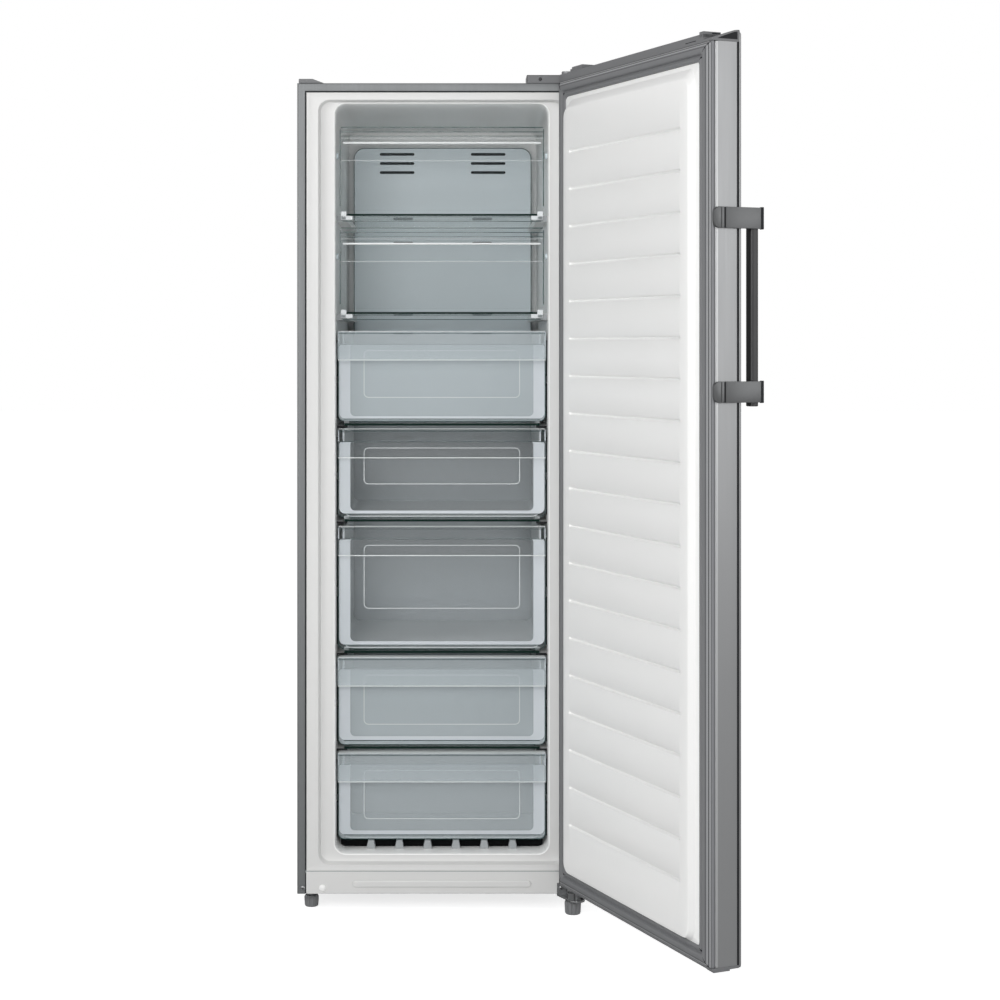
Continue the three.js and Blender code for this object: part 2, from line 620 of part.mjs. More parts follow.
const bore = hingePin + bushFit;
const bushRadius = bore + bushWall;
const sleeveHole = (span) => rod(bushRadius + turnedGap, "z", [pivot.x, pivot.y], span, 20);
const foamInner = rimInner - turnedGap;
door.add(piece("door_foam",
  sweep(plan(steel + turnedGap, steelBack), "z", inset(skinSpan, turnedGap))
    .add(box(both(foamInner), [steelBack - 1, plateBack - turnedGap], inset(skinSpan, 12.5)))
    .add(raisedPanel(linerPlate + turnedGap, plateBack - 1))
    .subtract(sleeveHole([0, doorBottom + 17]))
    .subtract(sleeveHole([doorTop - 19, doorTop])),
  "foam"));

// A wide soft bulge and a small inner ridge stand on the gasket's flange. The bulge leans in towards its
// top, so that its hinge side swings past the cabinet's front.
const gasket = {
  half: half - 2,
  span: [doorBottom + 4, cabinetTop - 3],
  flange: 33.5,
  base: doorBack + turnedGap,
  lean: 12,
};
const seal = (outer, inner, depth, lean = 0) => sweep(rounded(inset(both(gasket.half), outer),
  inset(gasket.span, outer), 6), "y", depth, { curve: 3, flare: { at: depth[0], by: lean } })
  .subtract(sweep(rounded(inset(both(gasket.half), inner), inset(gasket.span, inner), 6), "y",
    [depth[0] - 1, depth[1] + 1], { curve: 3 }));
door.add(piece("door_gasket", joined([
  seal(0, gasket.flange, [gasket.base, gasket.base + 2.7]),
  seal(2.5, 20, [gasket.base + 1, -5]),
  seal(2.5 + gasket.lean, 20, [-5.1, -0.7], gasket.lean),
  seal(25, gasket.flange, [gasket.base + 1, -2]),
]), "gasket"));

const topPlan = rounded(both(half), [doorFront, doorBack], [skinCorner, skinCorner, 0, 0]);
const topSpan = [doorTop - topCap, doorTop];
const freeEnd = [-half, -half + 30]; // where the cap rises from the liner's side to the front
const slopeUp = [[-8, doorTop - 10.7], [-26, doorTop - 5], [-54.6, doorTop + 4.8], [-63, doorTop + 6]];
const overSlope = sweep(polygon([[-8, doorTop + 9], ...slopeUp, [-63, doorTop + 9]]), "x",
  [freeEnd[0] - 1, freeEnd[1]]);
const end = sweep(polygon([...slopeUp, [doorFront, doorTop + 6], [doorFront, doorTop - 10.7]]), "x",
  freeEnd);
door.add(piece("door_top_cap", joined([
  sweep(topPlan, "z", topSpan).subtract(overSlope),
  end.intersect(sweep(topPlan, "z", [0, 2 * doorTop])),
  box([-half + 4, half - 60], [doorFront, doorFront + 6], [doorTop - 1, doorTop + 3]),
  box([freeEnd[1], freeEnd[1] + 14], [doorBack - 36, doorBack], [doorTop - 6, doorTop + 4.6]),
  box([pivot.x - 62, pivot.x - 17], [doorFront + 8, doorBack - 8], [doorTop - 1, doorTop + 11]),
]).subtract(sleeveHole([0, 2 * doorTop])), "darkSteel"));
door.add(piece("door_bottom_cap", joined([
  sweep(topPlan, "z", [doorBottom, doorBottom + bottomCap]),
  box([-half, -half + 23.5], [doorBack - 37, doorBack - 3], [doorBottom - 2.5, doorBottom + 1]),
]).subtract(sleeveHole([0, 2 * doorTop])), "darkSteel"));

const bush = (span) => rod(bushRadius, "z", [pivot.x, pivot.y], span, 20)
  .subtract(rod(bore, "z", [pivot.x, pivot.y], [span[0] - 1, span[1] + 1]));
door.add(piece("hinge_bush_top", bush([doorTop - 18, doorTop]), "white"));
door.add(piece("hinge_bush_bottom", bush([doorBottom, doorBottom + 16]), "white"));

// ---- Handle, fixed to the door's free edge ----
const edge = -half - turnedGap;
const barY = [doorFront - handleStandOff - barDepth, doorFront - handleStandOff];
door.add(piece("handle_bar",
  sweep(rounded([edge + turnedGap, edge + turnedGap + barWidth], barY, 6), "z", barSpan,
    { curve: 3 }),
  "handle"));
handleHeights.forEach((z, i) => {
  const tall = (by) => [z - handlePlate / 2 - by, z + handlePlate / 2 + by];
  const yz = (y, by, radii) => rounded(y, tall(by), radii);
  door.add(piece(`handle_bracket_${i ? "bottom" : "top"}`, joined([
    sweep(yz([-24, doorBack], 0, [1, 12, 12, 1]), "x", [edge - 6, edge], { curve: 4 }),
    sweep(yz([-28, -23], -1, 0.5), "x", [edge - 6, edge], { curve: 2 }),
    sweep(yz([barY[0] - 2, -27], -2, 0), "x", [edge - 3, edge]),
    sweep(yz([barY[0] - 2, -32], 0, 1), "x", [edge - 5, edge - 2], { curve: 1 }),
    sweep(yz([barY[0] - 6, barY[0]], 1, 1), "x", [edge - 6, edge], { curve: 1 }),
  ]), "grey"));
});

// The origin is on the floor, under the middle of the whole object as it stands with its door open.
freezer.updateMatrixWorld(true);
const bounds = new THREE.Box3().setFromObject(freezer, true);
const middle = bounds.getCenter(new THREE.Vector3());
freezer.position.set(-middle.x, -middle.y, -bounds.min.z);

export default freezer;
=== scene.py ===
# %% [markdown]
# # An upright freezer, door open
#
# A tall freezer of coated steel with a white moulded lining, two flap compartments and five clear drawers. The
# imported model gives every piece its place, and this lesson dresses it: each piece gets its rounded edges, its
# mouldings and its finish. Sizes are in millimetres from the middle of the cabinet's front edge on the floor,
# and one matrix turns them into metres.

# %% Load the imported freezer
import json
import math

import bpy
import bmesh
from mathutils import Matrix, Vector
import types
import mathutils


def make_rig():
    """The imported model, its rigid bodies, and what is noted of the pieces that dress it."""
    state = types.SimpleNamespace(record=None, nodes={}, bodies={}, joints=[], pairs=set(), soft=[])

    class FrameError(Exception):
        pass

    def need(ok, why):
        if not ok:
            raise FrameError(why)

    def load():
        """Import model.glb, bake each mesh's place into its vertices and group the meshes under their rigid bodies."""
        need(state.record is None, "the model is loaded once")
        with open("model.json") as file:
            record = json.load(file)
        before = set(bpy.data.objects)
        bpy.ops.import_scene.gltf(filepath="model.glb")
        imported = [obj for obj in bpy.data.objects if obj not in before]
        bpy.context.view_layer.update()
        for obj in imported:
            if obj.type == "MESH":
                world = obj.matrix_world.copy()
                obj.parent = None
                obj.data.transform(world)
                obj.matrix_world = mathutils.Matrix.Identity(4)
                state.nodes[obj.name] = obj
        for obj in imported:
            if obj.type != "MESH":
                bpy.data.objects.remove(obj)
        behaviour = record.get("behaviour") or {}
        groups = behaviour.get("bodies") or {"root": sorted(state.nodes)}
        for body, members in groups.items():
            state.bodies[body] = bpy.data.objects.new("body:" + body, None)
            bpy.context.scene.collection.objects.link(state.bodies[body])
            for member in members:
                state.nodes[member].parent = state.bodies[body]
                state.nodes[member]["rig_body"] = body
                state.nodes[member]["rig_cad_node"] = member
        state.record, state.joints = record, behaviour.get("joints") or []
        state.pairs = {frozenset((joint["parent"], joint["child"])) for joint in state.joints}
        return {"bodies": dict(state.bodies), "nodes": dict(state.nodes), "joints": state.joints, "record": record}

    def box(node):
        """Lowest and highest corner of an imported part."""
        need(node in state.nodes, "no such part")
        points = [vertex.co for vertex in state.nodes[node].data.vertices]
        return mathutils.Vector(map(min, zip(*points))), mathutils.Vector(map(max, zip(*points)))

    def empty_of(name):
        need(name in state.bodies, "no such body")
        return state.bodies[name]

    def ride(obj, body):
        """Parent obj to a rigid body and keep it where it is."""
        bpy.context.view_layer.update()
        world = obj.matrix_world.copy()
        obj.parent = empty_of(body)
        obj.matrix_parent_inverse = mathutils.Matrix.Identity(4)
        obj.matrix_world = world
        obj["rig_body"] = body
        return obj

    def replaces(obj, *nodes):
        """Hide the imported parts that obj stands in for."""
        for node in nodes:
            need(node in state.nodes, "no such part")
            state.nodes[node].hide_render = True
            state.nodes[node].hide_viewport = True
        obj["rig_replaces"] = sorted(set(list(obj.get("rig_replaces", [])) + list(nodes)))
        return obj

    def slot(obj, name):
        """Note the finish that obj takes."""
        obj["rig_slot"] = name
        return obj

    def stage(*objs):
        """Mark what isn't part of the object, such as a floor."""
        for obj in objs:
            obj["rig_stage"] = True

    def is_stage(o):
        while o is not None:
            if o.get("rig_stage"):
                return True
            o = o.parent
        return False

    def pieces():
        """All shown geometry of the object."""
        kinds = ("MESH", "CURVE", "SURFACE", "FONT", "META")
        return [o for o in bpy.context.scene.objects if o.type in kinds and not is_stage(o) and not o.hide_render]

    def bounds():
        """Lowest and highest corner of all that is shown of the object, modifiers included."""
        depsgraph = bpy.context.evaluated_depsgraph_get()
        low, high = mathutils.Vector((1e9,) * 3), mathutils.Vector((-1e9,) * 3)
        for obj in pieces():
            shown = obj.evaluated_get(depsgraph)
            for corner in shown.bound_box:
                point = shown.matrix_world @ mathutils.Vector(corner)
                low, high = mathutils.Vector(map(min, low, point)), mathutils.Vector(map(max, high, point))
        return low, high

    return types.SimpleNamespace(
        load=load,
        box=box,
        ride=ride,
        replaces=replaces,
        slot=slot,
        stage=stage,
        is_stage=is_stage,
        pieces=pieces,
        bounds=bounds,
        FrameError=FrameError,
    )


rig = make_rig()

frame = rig.load()
cad_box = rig.bounds()
print("bodies:", ", ".join(frame["bodies"]))

# %% [markdown]
# The steel wrap tells where the cabinet stands. The door hinge's record tells where the door turns and how far
# open it stands, so the door can be drawn shut, which is easier to think about, and then turned.

# %% Find the cabinet and the door's hinge
wrap_low, wrap_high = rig.box("cabinet_wrap")
HALF = (wrap_high[0] - wrap_low[0]) * 500
CABINET_TOP = wrap_high[2] * 1000
CABINET_BOTTOM = wrap_low[2] * 1000
DEPTH = (wrap_high[1] - wrap_low[1]) * 1000
origin = Vector(((wrap_low[0] + wrap_high[0]) / 2, wrap_low[1], 0))
hinge = next(j for j in frame["joints"] if j["name"] == "door_hinge")
hinge_point = Vector(hinge["pos_m"]).to_2d().to_3d()
OPEN_ANGLE = -math.radians(hinge["range_deg"][0])
PIVOT = ((hinge_point - origin) * 1000).to_2d()
to_cabinet = Matrix.Translation(origin) @ Matrix.Scale(0.001, 4)
to_door = Matrix.Translation(hinge_point) @ Matrix.Rotation(OPEN_ANGLE, 4, "Z") \
    @ Matrix.Translation(-hinge_point) @ to_cabinet
print("cabinet", round(2 * HALF), "x", round(DEPTH), "x", round(CABINET_TOP), "mm; door open",
      round(math.degrees(OPEN_ANGLE), 1), "degrees about", tuple(round(v, 1) for v in PIVOT))

# %% [markdown]
# The photographer stood about four metres away, with the camera at chest height, and aimed straight ahead. The
# picture was then cropped low, which a lens shift reproduces without tilting the uprights.

# %% Camera
CAMERA_PLACE = (17, -3960, 1164)
camera = bpy.data.objects.new("camera", bpy.data.cameras.new("camera"))
bpy.context.collection.objects.link(camera)
camera.location = to_cabinet @ Vector(CAMERA_PLACE)
camera.rotation_euler = (math.pi / 2, 0, 0)
camera.data.sensor_width = 36
camera.data.lens = 69.3
camera.data.shift_x = 0.05
camera.data.shift_y = -0.154
bpy.context.scene.camera = camera
print("camera at", tuple(round(v, 3) for v in camera.location))

# %% [markdown]
# The sky, the floor and every finish are small trees of nodes. Three helpers keep them short to write: they set
# a node's inputs by name, add a node with its inputs set, and wire nodes together.

# %% Helpers for nodes


def set_inputs(node, values):
    for name, value in values.items():
        node.inputs[name].default_value = value


def add_node(tree, kind, values=None):
    node = tree.nodes.new("ShaderNode" + kind)
    set_inputs(node, values or {})
    return node


def wire(tree, *wires):
    """Each wire names a node, its output, the node that it feeds and the input there."""
    for source, output, target, socket in wires:
        tree.links.new(source.outputs[output], target.inputs[socket])


# %% [markdown]
# A catalogue picture has a seamless white sweep and broad soft light. The world and the floor look white to the
# camera and to gloss, while the light that they give the freezer stays at a plain level. Four soft lamps
# light it: a large one high in front, a low one for the foot, one on the left for the open door, and one on the
# right that gives the door's edge its even grey.

# %% World and lamps
scene = bpy.context.scene
scene.view_settings.view_transform = "Standard"
world = bpy.data.worlds.new("studio")
scene.world = world
world.use_nodes = True
sky_tree = world.node_tree
sky_tree.nodes.clear()
WHITE, SKY_LIGHT = (1, 1, 1, 1), 0.35
sky = add_node(sky_tree, "Background", {"Color": WHITE, "Strength": SKY_LIGHT})
backdrop = add_node(sky_tree, "Background", {"Color": WHITE, "Strength": 1.0})
choose = add_node(sky_tree, "MixShader")
rays = add_node(sky_tree, "LightPath")
seen, mirrored = add_node(sky_tree, "Math"), add_node(sky_tree, "Math")
for node in (seen, mirrored):
    node.operation = "MAXIMUM"
out = add_node(sky_tree, "OutputWorld")
wire(sky_tree, (rays, "Is Camera Ray", seen, 0), (rays, "Is Transmission Ray", seen, 1), (seen, 0, mirrored, 0),
     (rays, "Is Glossy Ray", mirrored, 1), (mirrored, 0, choose, "Fac"), (sky, 0, choose, 1),
     (backdrop, 0, choose, 2), (choose, 0, out, "Surface"))


def lamp(name, place, aim, size, watts):
    light = bpy.data.lights.new(name, "AREA")
    light.shape = "RECTANGLE"
    light.size, light.size_y = size
    light.energy = watts
    holder = bpy.data.objects.new(name, light)
    bpy.context.collection.objects.link(holder)
    holder.location = place
    holder.rotation_euler = (Vector(aim) - Vector(place)).to_track_quat("-Z", "Y").to_euler()


lamp("front_softbox", (-0.7, -3.6, 2.0), (0, 0, 1.0), (1.6, 1.2), 47)
lamp("low_softbox", (-0.2, -3.4, 0.5), (0, 0, 0.6), (1.4, 0.6), 13)
lamp("left_softbox", (-3.0, -2.4, 2.8), (0.4, -0.3, 1.5), (1.2, 1.2), 30)
lamp("side_softbox", (3.0, -2.3, 1.6), (0.3, -0.2, 1.2), (1.4, 2.0), 24)
print("lamps:", [o.name for o in bpy.data.objects if o.type == "LIGHT"])

# %% [markdown]
# Every finish is one shader whose tone, roughness and surface carry a little noise, at the scale that the real
# material has. One helper makes them all, so that a finish takes a single line.

# %% A helper for finishes


def srgb(value):
    return value / 12.92 if value <= 0.04045 else ((value + 0.055) / 1.055) ** 2.4


def colour(text):
    return [srgb(int(text[i:i + 2], 16) / 255) for i in (1, 3, 5)]


def new_material(name):
    """A material, its tree of nodes and its shader."""
    material = bpy.data.materials.new(name)
    material.use_nodes = True
    return material, material.node_tree, material.node_tree.nodes["Principled BSDF"]


def finish(name, tone, rough, metal, shade, grain, bump, rough_noise=0.06, blotch=6.0):
    """Grain is the scale of the fine noise, one number or one each way; blotch is that of the broad noise."""
    material, tree, shader = new_material(name)
    set_inputs(shader, {"Metallic": metal})
    where = add_node(tree, "TexCoord")
    spread = add_node(tree, "Mapping", {"Scale": grain if isinstance(grain, tuple) else (grain,) * 3})
    fine = add_node(tree, "TexNoise", {"Scale": 1.0, "Detail": 3.0})
    broad = add_node(tree, "TexNoise", {"Scale": blotch})
    tint = add_node(tree, "MapRange", {"To Min": 1 - shade, "To Max": 1 + shade})
    paint = add_node(tree, "VectorMath", {0: colour(tone)})
    paint.operation = "SCALE"
    gloss = add_node(tree, "MapRange", {"To Min": rough - rough_noise, "To Max": rough + rough_noise})
    relief = add_node(tree, "Bump", {"Strength": bump, "Distance": 0.001})
    wire(tree, (where, "Object", spread, "Vector"), (spread, "Vector", fine, "Vector"),
         (where, "Object", broad, "Vector"), (broad, "Fac", tint, "Value"), (tint, "Result", paint, "Scale"),
         (paint, "Vector", shader, "Base Color"), (fine, "Fac", gloss, "Value"),
         (gloss, "Result", shader, "Roughness"), (fine, "Fac", relief, "Height"),
         (relief, "Normal", shader, "Normal"))
    return material


# %% [markdown]
# The cabinet and the door skin are steel with a grey metallic coat, rolled with a faint upright grain. The
# plastics differ in gloss: the lining is semi-gloss white, the caps and rim are satin grey, the seal is soft
# and matt.

# %% Opaque finishes
ROLLED = (500, 500, 6)
coated_steel = finish("coated_steel", "#8b8c8d", 0.42, 0.75, 0.03, ROLLED, 0.05, 0.08)
wrap_steel = finish("wrap_steel", "#6c6e6f", 0.5, 0.75, 0.03, ROLLED, 0.05, 0.08)
lining = finish("white_lining", "#f3f3f2", 0.32, 0.0, 0.01, 700, 0.03)
# The lip's white is greyer than the lining's: painted shade, on the lip and the kick panel.
lip_shaded_white = finish("lip_shaded_white", "#d8d8d7", 0.35, 0.0, 0.01, 700, 0.03)
# A grey that paints shade on the floor ribs, the upper ledges' fronts and the kick panel's joint.
painted_shade_grey = finish("painted_shade_grey", "#9fa3a5", 0.5, 0.0, 0.01, 700, 0.03)
rim_grey = finish("rim_grey", "#76777a", 0.48, 0.0, 0.02, 900, 0.06)
seal_rubber = finish("seal_rubber", "#727375", 0.6, 0.0, 0.03, 900, 0.08)
cap_grey = finish("cap_grey", "#6a6b6d", 0.5, 0.0, 0.03, 900, 0.08)
# Painted highlight and painted shade for the fine lines along the seal.
seal_highlight_grey = finish("seal_highlight_grey", "#a0a1a3", 0.4, 0.0, 0.02, 900, 0.04)
seal_shade_grey = finish("seal_shade_grey", "#48494b", 0.6, 0.0, 0.03, 900, 0.04)
# The hem's lighter steel paints a highlight on the folded edge.
hem_highlight_steel = finish("hem_highlight_steel", "#a9aaab", 0.4, 0.7, 0.02, ROLLED, 0.04)
# Dark for joints, and for painted shade in slots, grooves and gaps.
slot_dark = finish("slot_dark", "#2c2d2f", 0.6, 0.0, 0.03, 900, 0.08)
hinge_steel = finish("hinge_steel", "#6b6c6d", 0.38, 0.8, 0.04, 300, 0.06)
screw_steel = finish("screw_steel", "#8d8e8f", 0.3, 0.9, 0.04, 900, 0.04)
screw_dark = finish("screw_dark", "#3b3b3c", 0.4, 0.7, 0.04, 900, 0.04)
bar_metal = finish("bar_metal", "#303031", 0.38, 0.5, 0.03, (800, 800, 10), 0.05)
bracket_metal = finish("bracket_metal", "#58595a", 0.38, 0.6, 0.03, (10, 500, 500), 0.05)
black_plastic = finish("black_plastic", "#161719", 0.5, 0.0, 0.05, 900, 0.08)
foot_rubber = finish("foot_rubber", "#7a7b7d", 0.55, 0.0, 0.06, 900, 0.1)
# Black for painted shade: in the duct's slots and under the lowest drawer.
shade_black = finish("shade_black", "#0b0c0d", 0.8, 0.0, 0.02, 900, 0.0)
duct_plastic = finish("duct_plastic", "#cfdadf", 0.4, 0.0, 0.01, 700, 0.03)
print(len(bpy.data.materials), "opaque finishes")

# %% [markdown]
# Refraction through the many thin walls of the drawers would turn the picture dark and noisy, and thin sheets
# hardly bend light anyway. So the sheet is mostly see-through, it keeps its gloss, and it grows more solid where
# the eye looks along it, which draws its edges. The flaps are the clearest, and each drawer's plate is milky to a
# degree of its own, which also paints how much light reaches that drawer. The boxes behind are milky, as moulded
# plastic is in its thick walls. Slots and glass edges are kept from shining, or they would not look dark.

# %% See-through finishes


def see_through(name, tone, face_alpha, edge_alpha, rough=0.08, blend=0.3):
    material = finish(name, tone, rough, 0.0, 0.005, 60, 0.0, 0.0)
    tree = material.node_tree
    shader = tree.nodes["Principled BSDF"]
    facing = add_node(tree, "LayerWeight", {"Blend": blend})
    solid = add_node(tree, "MapRange", {"To Min": face_alpha, "To Max": edge_alpha})
    wire(tree, (facing, "Facing", solid, "Value"), (solid, "Result", shader, "Alpha"))
    set_inputs(shader, {"IOR": 1.5, "Specular IOR Level": 0.2})
    return material


clear_front = see_through("clear_front", "#d3dee2", 0.025, 0.4)
clear_flap = see_through("clear_flap", "#a9bcbe", 0.02, 0.35)
clear_glint = see_through("clear_glint", "#f4f8f8", 0.75, 0.95)
clear_rim = see_through("clear_rim", "#2f4d4c", 0.82, 0.95)
# Lines of painted highlight along embossed edges.
emboss_highlight = see_through("emboss_highlight", "#f2f6f7", 0.5, 0.8)
# The walls' and floors' whiter, near-solid finishes partly paint the sheen along the walls and the light on the
# floors.
milky_wall = see_through("milky_wall", "#eff3f5", 0.82, 0.95, 0.15)
milky_frame = see_through("milky_frame", "#d5dbe0", 0.85, 0.95, 0.15)
milky_floor = see_through("milky_floor", "#f4f7f8", 0.8, 0.95, 0.15)
milky_back = see_through("milky_back", "#eef3f6", 0.3, 0.6, 0.12)
shelf_clear = see_through("shelf_clear", "#9ab5b0", 0.05, 0.35, 0.03)
shelf_edge = finish("shelf_edge", "#07211b", 0.5, 0.0, 0.02, 300, 0.0)
# Each plate's milkiness also paints the light on its drawer: the first, fourth and fifth are hazier and lighter, the
# second and third clearer and darker.
PLATE_HAZE_AND_LIGHT, EDGE_HAZE = [0.4, 0.04, 0.05, 0.38, 0.28], 0.35
haze_and_light = [see_through("drawer_plate_%d" % n, "#d6e0e4", share, share + EDGE_HAZE)
        for n, share in enumerate(PLATE_HAZE_AND_LIGHT, 1)]
for material in (shade_black, slot_dark, shelf_edge):
    set_inputs(material.node_tree.nodes["Principled BSDF"], {"Specular IOR Level": 0.06})
print(len(bpy.data.materials), "finishes with the see-through ones")

# %% [markdown]
# Most of these parts are moulded or folded, so they are all built the same way: draw a ring of points round
# the shape, draw the next ring a little further in or back, and join ring to ring. Rounded rectangles make
# nearly everything in a freezer.

# %% Rings
ARC = 8


def arc_points(cu, cv, radius, start, steps=ARC):
    """A quarter circle, anticlockwise from the angle `start`."""
    turns = [start + math.pi / 2 * i / steps for i in range(steps + 1)]
    return [(cu + radius * math.cos(t), cv + radius * math.sin(t)) for t in turns]


def in_plane(flat, level, plane):
    return [{"xz": (a, level, b), "xy": (a, b, level), "yz": (level, a, b)}[plane] for a, b in flat]


def rounded_ring(u, v, radii, level, plane="xz"):
    """A rounded rectangle; radii start at the lower left corner and go anticlockwise."""
    r = [max(n, 0.05) for n in (radii if isinstance(radii, list) else [radii] * 4)]
    middles = [(u[0] + r[0], v[0] + r[0]), (u[1] - r[1], v[0] + r[1]), (u[1] - r[2], v[1] - r[2]),
               (u[0] + r[3], v[1] - r[3])]
    flat = [p for k in range(4) for p in arc_points(*middles[k], r[k], math.pi * (1 + k / 2))]
    return in_plane(flat, level, plane)


def inset_ring(half, z, inset, radii, y):
    """A rounded rectangle about the cabinet's middle line, drawn in by `inset` all round."""
    return rounded_ring((-half + inset, half - inset), (z[0] + inset, z[1] - inset), radii, y)


# %% [markdown]
# The skin between such rings is a list of points and faces. Slabs, blocks, plates and discs are skins between
# simple rings. Much of the freezer is the same on the left and the right, so one helper makes both sides.

# %% Skins between rings


def loft(rings, caps=True, loop=False):
    """Vertices and faces of a skin through the rings."""
    count, last = len(rings[0]), len(rings) - 1
    verts = [p for ring in rings for p in ring]
    faces = []
    for a, b in [(k, k + 1) for k in range(last)] + ([(last, 0)] if loop else []):
        for i in range(count):
            j = (i + 1) % count
            faces.append((a * count + i, a * count + j, b * count + j, b * count + i))
    if caps and not loop:
        faces += [tuple(range(count)), tuple(reversed(range(last * count, len(verts))))]
    return verts, faces


def slab(flat, levels, plane):
    """A flat outline drawn out straight between two levels."""
    return loft([in_plane(flat, level, plane) for level in levels])


def block(x, y, z):
    return slab([(x[0], y[0]), (x[1], y[0]), (x[1], y[1]), (x[0], y[1])], z, "xy")


def both_sides(x, y, z):
    """A block on the right and its mirror image on the left."""
    return [block((-x[1], -x[0]), y, z), block(x, y, z)]


def bar_across(half, y, z, tall):
    return block((-half, half), y, (z, z + tall))


def soft_plate(half, z, radii, y, soft):
    """An upright plate with rounded corners, whose front and back edges are softened."""
    return loft([inset_ring(half, z, inset, radii, level) for inset, level in
                 ((soft, y[0]), (0, y[0] + soft), (0, y[1] - soft), (soft, y[1]))])


def disc(centre, radius, levels, axis="z", sides=32, scales=None):
    """A round bar or stack of rings along an axis; scales shrink each ring."""
    plane = {"z": "xy", "y": "xz", "x": "yz"}[axis]
    turns = [2 * math.pi * i / sides for i in range(sides)]
    sizes = zip(levels, [radius * scale for scale in scales or [1] * len(levels)])
    return loft([in_plane([(centre[0] + r * math.cos(t), centre[1] + r * math.sin(t)) for t in turns], level, plane)
                 for level, r in sizes])


# %% [markdown]
# One more helper turns such skins into a piece: it joins them, points the faces outward, smooths what is
# curved, bevels what is sharp, gives the finish, and hangs the piece on the body that carries it.

# %% Make a piece
made = []


def piece(name, parts, body, material, slot, stands_for=(), bevel=0.0, smooth=35, steps=2):
    verts, faces = [], []
    for part_verts, part_faces in parts:
        start = len(verts)
        verts += part_verts
        faces += [tuple(i + start for i in face) for face in part_faces]
    place = to_door if body == "door" else to_cabinet
    mesh = bpy.data.meshes.new(name)
    mesh.from_pydata([place @ Vector(v) for v in verts], [], faces)
    work = bmesh.new()
    work.from_mesh(mesh)
    bmesh.ops.recalc_face_normals(work, faces=work.faces)
    work.to_mesh(mesh)
    work.free()
    mesh.materials.append(material)
    for face in mesh.polygons:
        face.use_smooth = True
    mesh.set_sharp_from_angle(angle=math.radians(smooth))
    thing = bpy.data.objects.new(name, mesh)
    bpy.context.collection.objects.link(thing)
    if bevel:
        soften = thing.modifiers.new("soft_edges", "BEVEL")
        soften.width = bevel / 1000
        soften.segments = steps
        soften.limit_method = "ANGLE"
        soften.angle_limit = math.radians(smooth)
        soften.harden_normals = True
    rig.ride(thing, body)
    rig.slot(thing, slot)
    if stands_for:
        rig.replaces(thing, *stands_for)
    made.append(thing)


def report(label):
    print(label + ":", made[-1].name, [round(v * 1000) for v in made[-1].dimensions], "mm")


# %% [markdown]
# ## The cabinet
#
# The outer wrap is one sheet folded over the top and down both sides, with its edge turned in round the front.
# The turned edge meets at the top corners in a mitre. Its section is drawn once, as pairs of depth into the
# cabinet's width and distance back, and carried up the left side, across the top and down the right.

# %% Steel wrap
FLANGE, FOLD, FOLD_STEPS, SHEET = 16.4, 3.0, 6, 1.2


def round_three_sides(section, foot):
    """Faces that carry a closed section up the left side, over the top and down the right."""
    sides = [[(-HALF + i, y, foot), (-HALF + i, y, CABINET_TOP - i), (HALF - i, y, CABINET_TOP - i),
              (HALF - i, y, foot)] for i, y in section]
    faces = []
    for i in range(len(sides)):
        j = (i + 1) % len(sides)
        faces += [(i * 4 + k, i * 4 + k + 1, j * 4 + k + 1, j * 4 + k) for k in range(3)]
    faces += [tuple(i * 4 + end for i in range(len(sides))) for end in (0, 3)]
    return [p for side in sides for p in side], faces


fold = arc_points(FOLD, FOLD, FOLD, math.pi, FOLD_STEPS)
turned_in = [(FLANGE - 0.8, 0), (FLANGE - 0.2, 0.3), (FLANGE, 0.9), (FLANGE, 1.6), (SHEET, 1.6)]
piece("wrap", [round_three_sides([(0, DEPTH)] + fold + turned_in + [(SHEET, DEPTH)], CABINET_BOTTOM)],
      "cabinet", wrap_steel, "coated_steel", ["cabinet_wrap"], smooth=40)
report("steel wrap")

# %% [markdown]
# Between the turned edge and the lining runs a narrow slot, in which the shadow is nearly black. A dark strip
# at its bottom paints that shadow. Where the turned edges meet at the corners, a hair of painted shadow shows as well.

# %% Painted shadow in the slot, and mitre joints
# The dark strip at the slot's bottom is painted shadow.
slot_shadow_section = [(FLANGE - 0.4, 0.7), (FLANGE + 4, 0.7), (FLANGE + 4, 3), (FLANGE - 0.4, 3)]
piece("slot_shadow_strip", [round_three_sides(slot_shadow_section, CABINET_BOTTOM + 0.5)], "cabinet", slot_dark, "black_plastic")
HAIR = 0.22
for side, name in ((-1, "left"), (1, "right")):
    flat = [(side * (HALF - cut) + t, CABINET_TOP - cut + side * t)
            for cut, t in ((0.8, HAIR), (0.8, -HAIR), (FLANGE - 0.2, -HAIR), (FLANGE - 0.2, HAIR))]
    piece("mitre_" + name, [slab(flat, (-0.06, 0.3), "xz")], "cabinet", slot_dark, "coated_steel")
report("mitre joint")

# %% [markdown]
# The lining is vacuum-formed from one white sheet. From the front it runs as a flat lip with a small bead at
# its outer edge, drops into a shallow step that the door's raised panel fills, and then turns back into the
# cavity. Rings from the back wall to the front draw its inside, and rings 1.5 mm further out its hidden side.
# The lip is a piece of its own, in a greyer white than the lining that paints the shade on it.

# %% Lining of the cavity
CAVITY, CAVITY_Z, CAVITY_RADIUS = 220.0, (117.0, 1663.5), 22
BACK, LINING = 525.0, 1.5
LIP = HALF - FLANGE - 2.7
LIP_Z = (83.6, CABINET_TOP - FLANGE - 2.7)


def wall_ring(out, y):
    return inset_ring(CAVITY, CAVITY_Z, -out, CAVITY_RADIUS + out, y)


